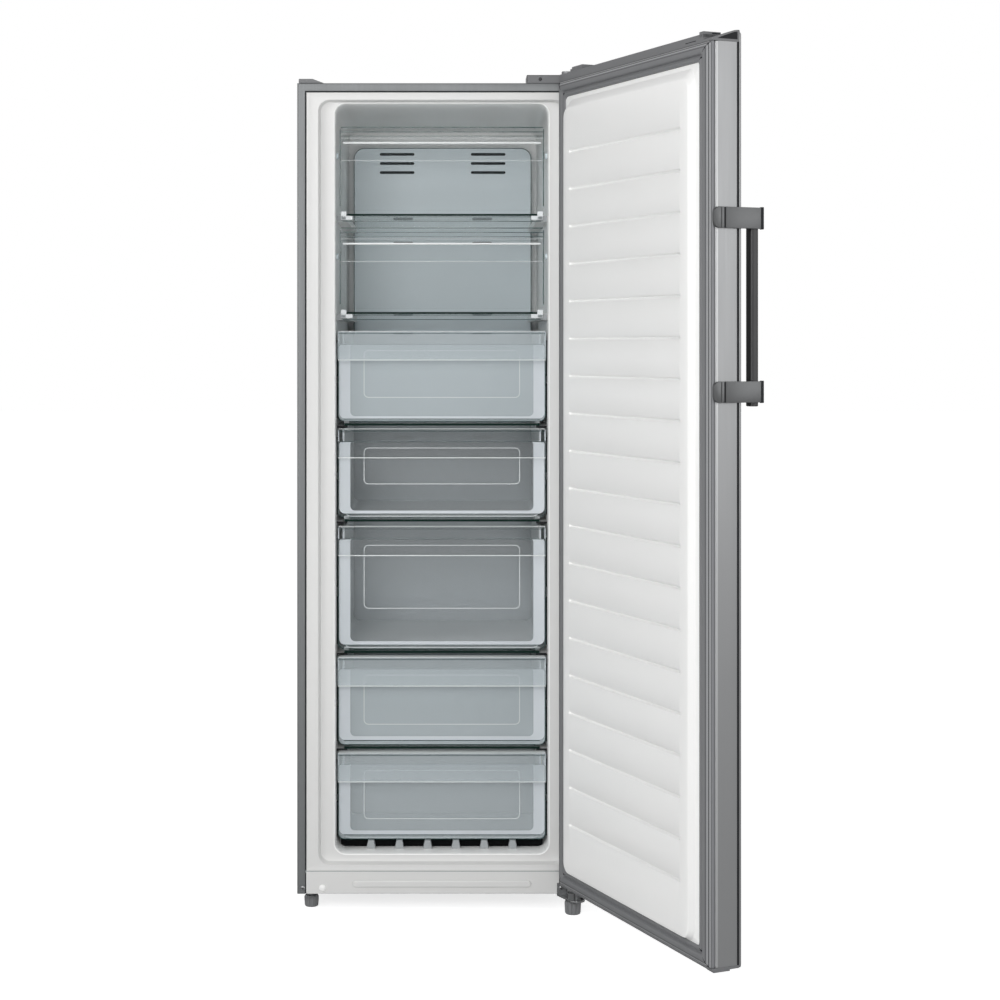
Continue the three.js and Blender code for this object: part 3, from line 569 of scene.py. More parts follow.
inside = [wall_ring(out, y) for out, y in
          ((-6, BACK), (-2, BACK - 2), (0, BACK - 6), (0, 200), (0, 60), (0, 15.5), (0.9, 13), (3, 12))]
step = [rounded_ring((-x, x), z, r, y) for x, z, r, y in
        ((247, (103.5, 1665.6), 17, 12), (249, (101.5, 1667), 19, 11), (251.5, (99, 1668.6), 21, 5),
         (252.8, (98, 1669.6), 22, 1.4), (254.6, (96.4, 1671), 24, 0))]
lip = [inset_ring(LIP, LIP_Z, inset, 1.0, y) for inset, y in
       ((5.6, 0.1), (4.2, -0.3), (1.8, -0.35), (0.6, 0.1), (0, 0.9), (0, LINING + 0.8))]
outside = [rounded_ring((-256, 256), (94, 1672.5), 24, LINING + 0.8),
           rounded_ring((-251, 251), (99, 1668), 18, 13.5), wall_ring(3.2, 13.5)]
piece("lining", [loft(inside + [wall_ring(3, 13.4), wall_ring(LINING, 14), wall_ring(LINING, BACK + LINING)])],
      "cabinet", lining, "white_plastic", ["inner_liner"])
piece("front_lip", [loft([wall_ring(3, 12)] + step + lip + outside, loop=True)], "cabinet", lip_shaded_white,
      "white_plastic")
report("lining")

# %% [markdown]
# The lining also carries the raised floor over the machinery, the ledges that hold the glass, six ribs on the
# floor for the lowest drawer, and a round lug on each side for each flap's pins. The ribs, the lugs and the fronts
# of the two upper ledges are greyer than the white lining, as painted shade. Beside and under the drawers the gap
# to the lining lies in shadow: dark strips paint that shadow, in lengths with breaks between, and dark fronts on
# the lower ledges paint it there too.

# %% Floor over the machinery, ledges, ribs, lugs and painted gap shadows


def heights(box):
    """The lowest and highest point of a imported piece, in millimetres."""
    low, high = box
    return low[2] * 1000, high[2] * 1000


shelf_z = [heights(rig.box("glass_shelf_%d" % n)) for n in range(1, 7)]
DRAWERS = [heights(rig.box("drawer_front_%d" % n)) for n in range(1, 6)]
FLAPS = [heights(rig.box("flap_%d" % n)) for n in (1, 2)]
PIN_DROP, PIN_Y = 60.0, 64.0
raised = bar_across(CAVITY, (290, BACK), CAVITY_Z[0], 201)
piece("raised_floor", [raised], "cabinet", lining, "white_plastic", bevel=8, steps=4)
LEDGE_X, LEDGE_TALL = (197, 220.5), [12, 12, 4, 4, 4, 4]
ledges = [part for (low, _), tall in zip(shelf_z, LEDGE_TALL)
          for part in both_sides(LEDGE_X, (66, 475), (low - tall, low))]
piece("ledges", ledges, "cabinet", lining, "white_plastic", bevel=1.2)
# The ribs' grey is painted shade under the lowest drawer.
RIB_X = [59 * (n - 2.5) for n in range(6)]
ribs = [slab([(x - 9.5, 116.8), (x + 9.5, 116.8), (x + 6, 134.2), (x - 6, 134.2)], (50, 289), "xz") for x in RIB_X]
piece("floor_ribs", ribs, "cabinet", painted_shade_grey, "white_plastic", bevel=1.5)
# The lugs take the grey-blue duct plastic as painted shade on the lining's white.
lugs = [disc((PIN_Y, top - PIN_DROP), 6.5, sorted((side * 215.6, side * 220.4)), "x")
        for _, top in FLAPS for side in (-1, 1)]
piece("flap_lugs", lugs, "cabinet", duct_plastic, "white_plastic", bevel=1.0)
# A black block paints the shadow under the lowest drawer.
under = bar_across(CAVITY - 9, (68, 74), 117.5, DRAWERS[-1][0] - 118)
piece("under_drawers", [under], "cabinet", shade_black, "black_plastic", bevel=0.5)
FRONT_X, FRONT_Y = (197, 219.8), (64.6, 65.9)
fronts = [part for low, _ in shelf_z[:2] for part in both_sides(FRONT_X, FRONT_Y, (low - 12.2, low - 0.1))]
# Dark strips paint the shadow on the lower ledges' fronts and in the gaps beside the drawers.
gap_shadows = []
for low, _ in shelf_z[2:]:
    gap_shadows += both_sides(FRONT_X, FRONT_Y, (low - 4.4, low - 0.1))
for low, high in DRAWERS:
    for start, stop in ((0.03, 0.42), (0.5, 0.9)):
        z = (low + (high - low) * start, low + (high - low) * stop)
        gap_shadows += both_sides((CAVITY - 2.4, CAVITY + 0.2), (64, 70), z)
# The upper ledges' fronts are grey as painted shade.
piece("ledge_fronts", fronts, "cabinet", painted_shade_grey, "white_plastic", bevel=0.3)
piece("side_gap_shadows", gap_shadows, "cabinet", slot_dark, "black_plastic", bevel=0.5)
report("gap_shadows")

# %% [markdown]
# The kick panel closes the foot of the cabinet, in the lip's greyer white that paints shade on it. A thin strip
# fills the joint above it, in a grey that paints the shade in the joint. A long bead with round ends stands on the
# panel, drawn as rings that rise from its face.

# %% Kick panel
KICK, KICK_Z = HALF - 18.5, (CABINET_BOTTOM, 82.6)
BEAD, BEAD_Z, BEAD_RADIUS = 184, (50.8, 64.2), 6.7
panel_rings = [inset_ring(KICK, KICK_Z, 0, 1.0, y) for y in (12, 0.8)] + [inset_ring(KICK, KICK_Z, 0.8, 0.6, 0)]
bead = [inset_ring(BEAD, BEAD_Z, i, BEAD_RADIUS - i, y) for i, y in ((0, 0), (0.6, -2.4), (2, -3))]
# The joint's grey strip is painted shade.
piece("kick_joint", [bar_across(HALF - 17, (0.5, 1.1), KICK_Z[1] - 2, 4.4)], "cabinet", painted_shade_grey, "white_plastic")
piece("kick", [loft(panel_rings + bead)], "cabinet", lip_shaded_white, "white_plastic", ["kick_panel"], smooth=20)
report("kick panel")

# %% [markdown]
# Screw heads and caps are lathe-turned shapes with a cross recess. One helper makes them all: `out` is the
# direction that the head faces, towards the front or the back.

# %% Screws and caps


def screw(name, x, z, radius, y, material, height=2.2, slot="zinc_sheet", cross=True, out=-1):
    levels = [y + out * height * s for s in (0, 0.45, 0.8, 1.0)]
    parts = [disc((x, z), radius, levels, "y", 28, [1, 0.93, 0.7, 0.35])]
    piece(name, parts, "cabinet", material, slot, smooth=50)
    # The cross recess is drawn as dark bars set into the head: painted shade.
    if cross:
        arm, thick, face = radius * 0.55, radius * 0.13, y + out * (height + 0.05)
        deep = sorted((face, face - out * 0.6))
        bars = [block((x - a, x + a), deep, (z - b, z + b)) for a, b in ((arm, thick), (thick, arm))]
        piece(name + "_cross", bars, "cabinet", screw_dark, slot)


screw("kick_cap_left", -245.5, 49, 7, 0, lining, 2.6, "white_plastic", cross=False)
screw("flange_screw_left", -285.5, 49, 5, 0, screw_steel, 2.4)
for place, x in enumerate((-280, -95, 95, 280)):
    screw("back_screw_%d" % place, x, 260, 4, DEPTH, screw_steel, 2.0, out=1)
report("screws")

# %% [markdown]
# ## The door
#
# The door is a steel tray with a separate sheet over its front. Seen from above, the tray's section is a wide
# U, drawn out up the whole height. A dark joint runs between tray and front sheet.

# %% Door skin and front sheet
DOOR_FRONT, DOOR_BACK = -69.0, -9.0
TRAY_FRONT, SHEET_BACK, STEEL_BACK = -60.6, -64.6, -20.6
SKIN_Z, FRONT_Z = (68.3, 1702.2), (61.6, 1721.0)


def u_section(inset, radius):
    """From the back left edge round the front to the back right edge."""
    corner = arc_points(-HALF + inset + radius, TRAY_FRONT + inset + radius, radius, math.pi, 5)
    left = [(-HALF + inset, STEEL_BACK)] + corner
    return left + [(-x, y) for x, y in reversed(left)]


piece("skin", [slab(u_section(0, 1.6) + u_section(1.1, 0.6)[::-1], SKIN_Z, "xy")], "door", coated_steel,
      "coated_steel", ["door_skin"], smooth=30)
joint = bar_across(HALF - 0.9, (SHEET_BACK, TRAY_FRONT), 66, 1650)
piece("front_joint", [joint], "door", slot_dark, "black_plastic")
sheet_rings = [inset_ring(HALF, FRONT_Z, i, 6, y) for i, y in
               ((0, SHEET_BACK), (0, DOOR_FRONT + 1.2), (0.4, DOOR_FRONT + 0.4), (1.2, DOOR_FRONT))]
piece("front_sheet", [loft(sheet_rings)], "door", coated_steel, "coated_steel", smooth=30)
report("front sheet")

# %% [markdown]
# The inner side of the door is one white sheet. Its middle is raised to reach into the cabinet's step when the
# door shuts, with a short slope on three sides and a long one above. The raised panel starts as rounded rings
# that climb the slope and turn over onto the face, and ends in a rectangle that a grid of grooves will fill.

# %% Raised panel of the door
PANEL, PANEL_Z, PANEL_FACE = 245.0, (106.5, 1642.0), 10.0
SLOPE_SIDE, SLOPE_BELOW, SLOPE_ABOVE = 9.0, 5.5, 22.0
GROOVED, GROOVED_Z = 228.0, (130.0, 1618.0)


def climb(t, y, extra, r):
    """A ring on the slope: t runs from 1 at the foot to 0 at the panel's edge."""
    return rounded_ring((-PANEL - SLOPE_SIDE * t - extra, PANEL + SLOPE_SIDE * t + extra),
                        (PANEL_Z[0] - SLOPE_BELOW * t - extra, PANEL_Z[1] + SLOPE_ABOVE * t + extra), r, y)


plate_rings = [rounded_ring((-HALF + 8, HALF - 8), (SKIN_Z[0] + 6, SKIN_Z[1] - 6), 4, y)
               for y in (-12.5, DOOR_BACK)]
slope_rings = [climb(*values) for values in
               ((1, DOOR_BACK, 2.0, 26), (1, DOOR_BACK + 0.5, 0.3, 25), (0.92, DOOR_BACK + 2.2, 0, 24),
                (0.14, 7.2, 0, 21), (0.04, 8.9, 0, 20), (0, 9.6, -0.8, 19.4), (0, PANEL_FACE, -2.4, 18))]
face_rings = [inset_ring(GROOVED, GROOVED_Z, 0, 0.05, y) for y in (PANEL_FACE, PANEL_FACE - 6)]
piece("door_lining", [loft(plate_rings + slope_rings + face_rings + [plate_rings[0]], caps=False)],
      "door", lining, "white_plastic", ["door_liner"], smooth=45)
report("door lining")

# %% [markdown]
# Nineteen long narrow grooves stiffen the panel. A grid of points follows the face, close together across
# each groove, and each point is pushed in by the groove's rounded profile, which fades out at the ends too.

# %% Grooved face of the door
GROOVES = 19
GROOVE_LOW, GROOVE_HIGH = 206.0, 1553.5
GROOVE_HALF, GROOVE_WIDE, GROOVE_DEEP = 219.0, 3.9, 4.6
groove_levels = [GROOVE_LOW + (GROOVE_HIGH - GROOVE_LOW) * i / (GROOVES - 1) for i in range(GROOVES)]
across = [-1, -0.86, -0.68, -0.5, -0.25, 0, 0.25, 0.5, 0.68, 0.86, 1]
z_lines = [GROOVED_Z[0] - 0.3] + [z + GROOVE_WIDE * t for z in groove_levels for t in across] \
    + [GROOVED_Z[1] + 0.3]
ends = [0, 0.4, 0.9, 1.6, 2.6, 3.9]
x_lines = sorted({s * (GROOVE_HALF - e) for s in (-1, 1) for e in ends} | {-GROOVED - 0.3, GROOVED + 0.3, 0.0})


def groove_depth(x, z):
    level = min(groove_levels, key=lambda g: abs(g - z))
    past = max(0.0, abs(x) - (GROOVE_HALF - GROOVE_WIDE))
    away = min(math.hypot(z - level, past) / GROOVE_WIDE, 1.0)
    return GROOVE_DEEP * (0.5 + 0.5 * math.cos(math.pi * away ** 1.6))


def face_point(x, z):
    tuck = 0.12 if abs(x) > GROOVED or z in (z_lines[0], z_lines[-1]) else 0.0
    return x, PANEL_FACE - tuck - groove_depth(x, z), z


wide, rows = len(x_lines), len(z_lines)
corner_at = wide * rows
face_verts = [face_point(x, z) for z in z_lines for x in x_lines] \
    + [(x, PANEL_FACE - 5.5, z) for z in (z_lines[0], z_lines[-1]) for x in (x_lines[0], x_lines[-1])]
face_faces = [(i, i + 1, i + wide + 1, i + wide) for r in range(rows - 1)
              for i in range(r * wide, (r + 1) * wide - 1)]
edge_runs = [(range(wide), 0, 1), (range(corner_at - wide, corner_at), 2, 3), (range(0, corner_at, wide), 0, 2),
             (range(wide - 1, corner_at, wide), 1, 3)]
face_faces += [(*run, corner_at + b, corner_at + a) for run, a, b in edge_runs]
face_faces.append((corner_at, corner_at + 1, corner_at + 3, corner_at + 2))
piece("grooved_face", [(face_verts, face_faces)], "door", lining, "white_plastic", smooth=60)
report("grooved face")

# %% [markdown]
# Between the white sheet and the steel runs a grey frame. Seen on the door's edge it is, from the back: a
# plastic rim, a fine groove, and the hem of the folded steel, whose lighter tone is a painted highlight. The soft
# seal clips onto it. Its section has a wide bulge, a groove and a small inner ridge, with fine lines along it: light
# ones paint highlights on its ridges and dark ones the shade in its grooves. At each corner two lengths are welded
# in a mitre, and a line of shadow lies between the seal and the white panel.

# %% Rim, hem and seal


def frame_loop(section):
    """A skin that carries a section of (inset, depth) pairs all round the door."""
    return loft([inset_ring(HALF, SKIN_Z, inset, 1.5, y) for inset, y in section], loop=True)


hem = [(0, STEEL_BACK), (0, STEEL_BACK + 2.4), (0.1, -16.3), (0.8, -15.7), (7, -15.7), (7, STEEL_BACK)]
# The hem's lighter tone is a painted highlight.
piece("hem", [frame_loop(hem)], "door", hem_highlight_steel, "coated_steel", smooth=50)
rim = [(1.9, -15.6), (1.9, -14.2), (0.5, -13.8), (0.1, -13), (0.1, -10), (0.6, -9.2), (1.6, -9), (12, -9),
       (12, -15.6)]
piece("rim", [frame_loop(rim)], "door", rim_grey, "dark_trim", smooth=50)
SEAL, SEAL_Z = HALF - 2, (66.0, 1702.0)
SUNK, PROUD = 0.2, 0.14
seal_section = [(0, 0.4), (0.2, 1.2), (1.6, 1.8), (2.6, 3.0), (4.5, 4.6), (7.5, 6.3), (11, 7.6), (14.5, 8.2),
                (17.5, 8.25), (19.4, 7.9), (20.6, 6.6), (21.3, 4.6), (22.2, 3.2), (23.6, 2.9), (24.6, 3.4),
                (25.4, 5.0), (26.6, 6.3), (28.4, 6.9), (30.6, 6.8), (32.2, 5.8), (33.2, 3.9), (33.9, 1.9),
                (34.6, 0.8), (34.8, 0.2)]


def seal_loop(section):
    """The same round the seal, with (inset, height) pairs."""
    return loft([inset_ring(SEAL, SEAL_Z, d, 4 + d * 0.15, DOOR_BACK + h) for d, h in section], loop=True)


def seal_height(d):
    a, b = next((a, b) for a, b in zip(seal_section, seal_section[1:]) if a[0] <= d <= b[0])
    return a[1] + (b[1] - a[1]) * (d - a[0]) / (b[0] - a[0])


def seal_line(name, spans, material):
    """Thin loops that run all round on the seal's face: the light ones paint highlights, the dark ones shade."""
    parts = [seal_loop([(d, seal_height(d) + up) for d, up in ((a, -SUNK), (a, PROUD), (b, PROUD), (b, -SUNK))])
             for a, b in spans]
    piece(name, parts, "door", material, "gasket")


piece("seal", [seal_loop(seal_section)], "door", seal_rubber, "gasket", ["door_gasket"], smooth=40)
# Light loops paint highlights on the seal's ridges, dark loops the shade in its grooves.
seal_line("seal_ridge_highlights", [(1.2, 2.4), (5.4, 6.9)], seal_highlight_grey)
seal_line("seal_groove_shades", [(2.7, 4.0), (9.0, 10.4)], seal_shade_grey)
foot_y = (DOOR_BACK + 0.15, DOOR_BACK + 0.45)
shadow_rings = [climb(1, y, 0.8, 26) for y in foot_y] \
    + [rounded_ring((-261.8, 261.8), (99.4, 1668.4), 9, y) for y in reversed(foot_y)]
piece("panel_shadow", [loft(shadow_rings, loop=True)], "door", slot_dark, "gasket")
seam = [(d, h + 0.12) for d, h in seal_section if d > 1.4] + [(33, 0.2), (2, 0.2)]
welds = [loft([[(side * (SEAL - d + t), DOOR_BACK + h, edge - up * (d + t)) for d, h in seam]
               for t in (-HAIR, HAIR)]) for side in (-1, 1) for up, edge in zip((-1, 1), SEAL_Z)]
piece("seal_welds", welds, "door", slot_dark, "gasket")
report("seal")

# %% [markdown]
# Plastic caps close the top and the bottom of the door. The top cap rises in a slope towards the front at its
# free end, with a hollow in the end. A lug with a slot stands near it, and a block beside the hinge. Dark pieces
# paint the shade in the hollow, in the lug's slot and in a short line on the cap's inner face. The bottom cap has a
# small pad under its free corner.

# %% Door caps
CAP_Z, CAP_TOP, FREE = (1702.6, 1718.0), 1724, -HALF
end_face = [(SHEET_BACK + 0.4, CAP_Z[0]), (DOOR_BACK, CAP_Z[0]), (DOOR_BACK, 1707.4), (-26, 1713),
            (-54.6, 1722.8), (-63, CAP_TOP), (SHEET_BACK + 0.4, CAP_TOP)]
sheet_fold = [(DOOR_FRONT + 1, 1716), (SHEET_BACK + 1, 1716), (SHEET_BACK + 1, CAP_TOP),
              (DOOR_FRONT + 1.4, CAP_TOP), (DOOR_FRONT + 1, CAP_TOP - 0.4)]
hollow = [(-20, 1706.6), (-61, 1706.6), (-61, 1720.4), (-55, 1719.8), (-27, 1710)]
top_parts = [block((FREE + 30, HALF), (SHEET_BACK + 0.2, DOOR_BACK), CAP_Z),
             slab(end_face, (FREE, FREE + 30.1), "yz"), slab(sheet_fold, (FREE + 4, FREE + 38), "yz"),
             block((FREE + 30, FREE + 44), (DOOR_BACK - 36, DOOR_BACK), (1712, 1722.6)),
             block((PIVOT[0] - 62, PIVOT[0] - 17), (-61, -17), (1717, 1729))]
piece("top_cap", top_parts, "door", cap_grey, "dark_trim", ["door_top_cap"], bevel=0.8)
# Dark pieces paint the shade in the end's hollow, in the lug's slot and on the cap's inner face.
hollow_shades = [slab(hollow, (FREE - 0.05, FREE + 0.4), "yz"),
           block((FREE + 29.9, FREE + 30.3), (-44, -27), (1718.6, 1720.8)),
           block((-242, -205), (DOOR_BACK - 0.4, DOOR_BACK + 0.06), (1708, 1709.4))]
piece("cap_hollow_shades", hollow_shades, "door", slot_dark, "dark_trim")
bottom_parts = [bar_across(HALF - 0.2, (SHEET_BACK + 0.2, DOOR_BACK), 62.2, 5.8),
                block((FREE + 0.2, FREE + 23.5), (-46, -12), (59.6, 63))]
piece("bottom_cap", bottom_parts, "door", cap_grey, "dark_trim", ["door_bottom_cap"], bevel=1.2)
report("caps")

# %% [markdown]
# ## The handle
#
# A flat bar stands in front of the door on two brackets, which are screwed to the door's free edge. Each
# bracket has a round-ended foot, a fine groove painted dark as its shade, a plate that runs forward and a dark lip at
# its end.

# %% Handle bar and brackets
EDGE = -HALF - 0.3
BAR_Y, BAR_Z = (-106.0, -89.0), heights(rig.box("handle_bar"))
bar_rings = [rounded_ring((EDGE + 0.3 + i, EDGE + 20.8 - i), (BAR_Y[0] + i, BAR_Y[1] - i), 5.5, z, "xy")
             for i, z in ((1, BAR_Z[0]), (0, BAR_Z[0] + 1), (0, BAR_Z[1] - 1), (1, BAR_Z[1]))]
piece("bar", [loft(bar_rings)], "door", bar_metal, "handle_metal", ["handle_bar"])


def side_plate(y, z, radii, thick, soft=0.8):
    """A flat piece on the door's edge with its outer face softened all round."""
    return loft([rounded_ring((y[0] + s, y[1] - s), (z[0] + s, z[1] - s), radii, x, "yz")
                 for s, x in ((0, EDGE), (0, EDGE - thick + soft), (soft * 0.3, EDGE - thick + soft * 0.3),
                              (soft, EDGE - thick))])


for name in ("top", "bottom"):
    node = "handle_bracket_" + name
    low, high = heights(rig.box(node))
    z = (low + 1, high - 1)
    parts = [side_plate((-24, -9.2), z, [1.2, 12, 12, 1.2], 6.0), side_plate((-30.2, -24.4), z, 0.8, 6.0, 0.5),
             side_plate((-108, -27.5), (z[0] + 2, z[1] - 2), 0.4, 3.0, 0.3),
             side_plate((-108, -34), z, 1.0, 5.0, 0.5)]
    piece("bracket_" + name, parts, "door", bracket_metal, "bracket_metal", [node])
    # The plate in the groove is dark as painted shade.
    dark = [side_plate((-112, -106.5), (z[0] - 1, z[1] + 1), 1.0, 6.0, 0.6),
            side_plate((-34.2, -30), (z[0] + 0.6, z[1] - 0.6), 0.4, 3.6, 0.2)]
    piece("bracket_lip_" + name, dark, "door", slot_dark, "handle_metal")
report("brackets")

# %% [markdown]
# ## Hinges and feet
#
# The upper hinge is a folded steel arm on the cabinet's top, partly under a plastic hood. A low cap of the same
# plastic closes the other corner.

# %% Upper hinge, hood and corner cap
ARM, PIN = 13.5, 4.5
arm_x = (PIVOT[0] - ARM, PIVOT[0] + ARM)
root = [(x, y) for x, y, _ in rounded_ring((arm_x[0] - 15, arm_x[1]), (-10, 10), [8, 2, 0.1, 0.1], 0, "xy")]
hinge_parts = [block((188, arm_x[1]), (8, 58), (1705, 1708)), block(arm_x, (4, 10), (1705, 1725)),
               slab(root, (1722, 1728), "xy"), block(arm_x, (PIVOT[1], 10), (1722, 1725)),
               disc(PIVOT, ARM, [1722, 1727.5], sides=40),
               disc(PIVOT, 10, [1724, 1728.4, 1729], sides=40, scales=[1, 1, 0.94]),
               disc(PIVOT, PIN, [1702, 1724])]
piece("upper_hinge", hinge_parts, "cabinet", hinge_steel, "bracket_metal", ["top_hinge_bracket"], bevel=0.6)
HOOD_X, HOOD_Y, HOOD_Z = (175, 247), (3, 62), (1705, 1722)
hood_parts = [block(HOOD_X, (3, 5), HOOD_Z), block(HOOD_X, (60, 62), HOOD_Z), block((175, 177), HOOD_Y, HOOD_Z),
              block(HOOD_X, HOOD_Y, (1720, 1722))]
piece("hinge_hood", hood_parts, "cabinet", cap_grey, "dark_trim", ["top_hinge_cover"], bevel=0.8)
cap_slope = [(-294.5, 1705), (-242, 1705), (-266, 1714), (-294.5, 1714)]
piece("corner_cap", [slab(cap_slope, (2, 62), "xz")], "cabinet", cap_grey, "dark_trim", ["top_left_cap"],
      bevel=1.2)
screw("hood_screw", 203, 1713.5, 3.6, 3, screw_dark, 1.6)
report("upper hinge")

# %% [markdown]
# The lower hinge is a flat plate that tapers to its pin, with an ear screwed to the front. It also takes the
# right foot.

# %% Lower hinge
taper = [(237, 0), (PIVOT[0] - 14, PIVOT[1] - 9), (292, PIVOT[1]), (292, 0)]
HINGE_Z = (33, 37)
plate_parts = [block((237, 292), (-1, 40), HINGE_Z), slab(taper, HINGE_Z, "xy"),
               disc(PIVOT, 16.5, HINGE_Z, sides=40)]
piece("lower_hinge_plate", plate_parts, "cabinet", screw_steel, "bracket_metal", bevel=0.8)
lower_parts = [block((237, 258), (-3, 0), (33, 60)),
               block((PIVOT[0] - 19, PIVOT[0] - 6), (PIVOT[1] - 7, PIVOT[1] + 7), (36, 50.5)),
               disc(PIVOT, 8, [36, 61]), disc(PIVOT, PIN, [60, 76])]
piece("lower_hinge", lower_parts, "cabinet", hinge_steel, "bracket_metal", ["bottom_hinge_bracket"], bevel=0.8)
screw("lower_hinge_screw", 244.8, 49.7, 4.6, -3, screw_steel)
report("lower hinge")

# %% [markdown]
# The feet are turned plastic on a steel stud, with grip ribs round them for the fingers. A ring of 96 points
# is pulled in at three points of every eight, which makes twelve flutes.

# %% Feet
FOOT_POINTS, FLUTE = 96, 0.88


def foot(side, x, y, radius, height, top):
    profile = [(0, 0.84), (1.0, 0.9), (2.6, 0.94), (height - 8, 1.0), (height - 3, 1.0), (height, 0.86)]
    rings = []
    for level, scale in profile:
        fluted = 2 < level < height - 1
        ring = []
        for i in range(FOOT_POINTS):
            r = radius * scale * (FLUTE if fluted and i % 8 in (5, 6, 7) else 1.0)
            angle = 2 * math.pi * i / FOOT_POINTS
            ring.append((x + r * math.cos(angle), y + r * math.sin(angle), level))
        rings.append(ring)
    stud = disc((x, y), 4, [height - 1, top], sides=24)
    nut = disc((x, y), 8, [height - 0.5, height + 4], sides=6)
    piece("foot_%s_turned" % side, [loft(rings), stud, nut], "foot_" + side, foot_rubber, "black_rubber",
          ["foot_" + side], smooth=25)


foot("left", -271, 46, 15, 23, 62)
foot("right", 269, -10, 17, 27, 52)
report("feet")

# %% [markdown]
# ## Inside: glass, flaps and drawers
#
# A shelf is one sheet of float glass. Looked at from the front, its ground edge is a dark green line, because
# the light has travelled the whole depth of the sheet. So the front edge is a separate dark strip. The two
# upper shelves also have a clear bar under their front edge, held at each end by a white clip.

# %% Glass shelves
SHELF, SHELF_FRONT, SHELF_EDGE, CLIP_Y = 205, 62.0, 0.7, (55, 66)
for n, (low, high) in enumerate(shelf_z, 1):
    pane = block((-SHELF, SHELF), (SHELF_FRONT + SHELF_EDGE, 470), (low, high))
    piece("shelf_%d" % n, [pane], "cabinet", shelf_clear, "shelf_glass", ["glass_shelf_%d" % n], bevel=0.5)
    edge = bar_across(SHELF - 1, (SHELF_FRONT, SHELF_FRONT + SHELF_EDGE), low - 0.2, high - low + 0.2)
    piece("shelf_edge_%d" % n, [edge], "cabinet", shelf_edge, "shelf_glass")
    if n > len(FLAPS):
        continue
    bar = bar_across(SHELF + 2, (SHELF_FRONT - 2, SHELF_FRONT), low - 12, 12.2)
    piece("shelf_bar_%d" % n, [bar], "cabinet", clear_front, "clear_plastic", bevel=0.6)
    lines = [bar_across(SHELF + 2, (SHELF_FRONT - 2.4, SHELF_FRONT - 2), low - z, 1.3) for z in (12.4, 3)]
    piece("shelf_bar_lines_%d" % n, lines, "cabinet", clear_rim, "clear_plastic")
    clips = both_sides((186, 211), CLIP_Y, (low - 9, low - 0.3)) \
        + both_sides((199, 211), CLIP_Y, (low - 9, high + 5))
    piece("shelf_clips_%d" % n, clips, "cabinet", milky_wall, "white_plastic", bevel=1.5)
report("shelf clips")

# %% [markdown]
# A flap is a clear plate that swings up on two side pins. Its grip is a strip across it whose lower edge
# catches the light. A dark line shows along its top and each side, where the eye looks into the thick edge.

# %% Flaps


def clear_piece(body, part, parts, material, stands_for=(), **softening):
    """A piece of a flap or a drawer, named after the body that carries it."""
    piece("%s_%s" % (body, part), parts, body, material, "clear_plastic", stands_for, **softening)


FLAP, PLATE_Y, BEAD_Y = 213.0, (57, 60), (56.4, 57.2)
for n, (bottom, top) in enumerate(FLAPS, 1):
    body = "flap_%d" % n
    pin = top - PIN_DROP
    plate = soft_plate(FLAP, (bottom, top), [8, 8, 4, 4], PLATE_Y, 0.6)
    clear_piece(body, "plate", [plate], clear_flap, [body])
    tabs = both_sides((209, FLAP), (58, 70), (pin - 8, pin + 8)) \
        + [disc((PIN_Y, pin), 4, sorted((side * 212, side * 219)), "x", 24) for side in (-1, 1)]
    clear_piece(body, "pins", tabs, clear_flap, bevel=0.6)
    dark = both_sides((FLAP - 1.6, FLAP), (56.8, 60), (bottom + 9, top - 5)) \
        + [bar_across(FLAP - 2, (56.5, 57.1), top - z, tall) for z, tall in ((1.8, 1.7), (11, 1.4), (19.5, 1.1))]
    clear_piece(body, "lines", dark, clear_rim)
    # The beads are lines of painted highlight where the plate is embossed.
    light = [bar_across(FLAP - 2, BEAD_Y, top - 24, 1.1), bar_across(FLAP - 4, BEAD_Y, top - 71, 1.0)]
    clear_piece(body, "beads", light, emboss_highlight, bevel=0.3)
    strip = loft([inset_ring(205, (top - 32, top - 21), i, 2.4, y) for i, y in ((1.5, 48), (0, 49.5), (0, 57))])
    clear_piece(body, "grip", [strip], clear_flap, ["flap_grip_%d" % n])
    edge = bar_across(206, (47.6, 56), top - 36, 4.2)
    clear_piece(body, "grip_edge", [edge], clear_glint, bevel=1.2)
report("flaps")

# %% [markdown]
# A drawer is two mouldings. The box is a tray that is open towards its front plate: two side walls with a
# rounded foot, a runner under each and a rim along the top, a floor and a back wall. The side walls look almost
# white, because the eye looks along them, and the back looks clear. So walls, floor and back have three finishes:
# the walls' near-white, nearly solid finish partly paints that sheen, and the floor's whiter finish paints the
# light that falls on it from the front.
# The lowest drawer has hardly any runners, because it slides out over a rail.

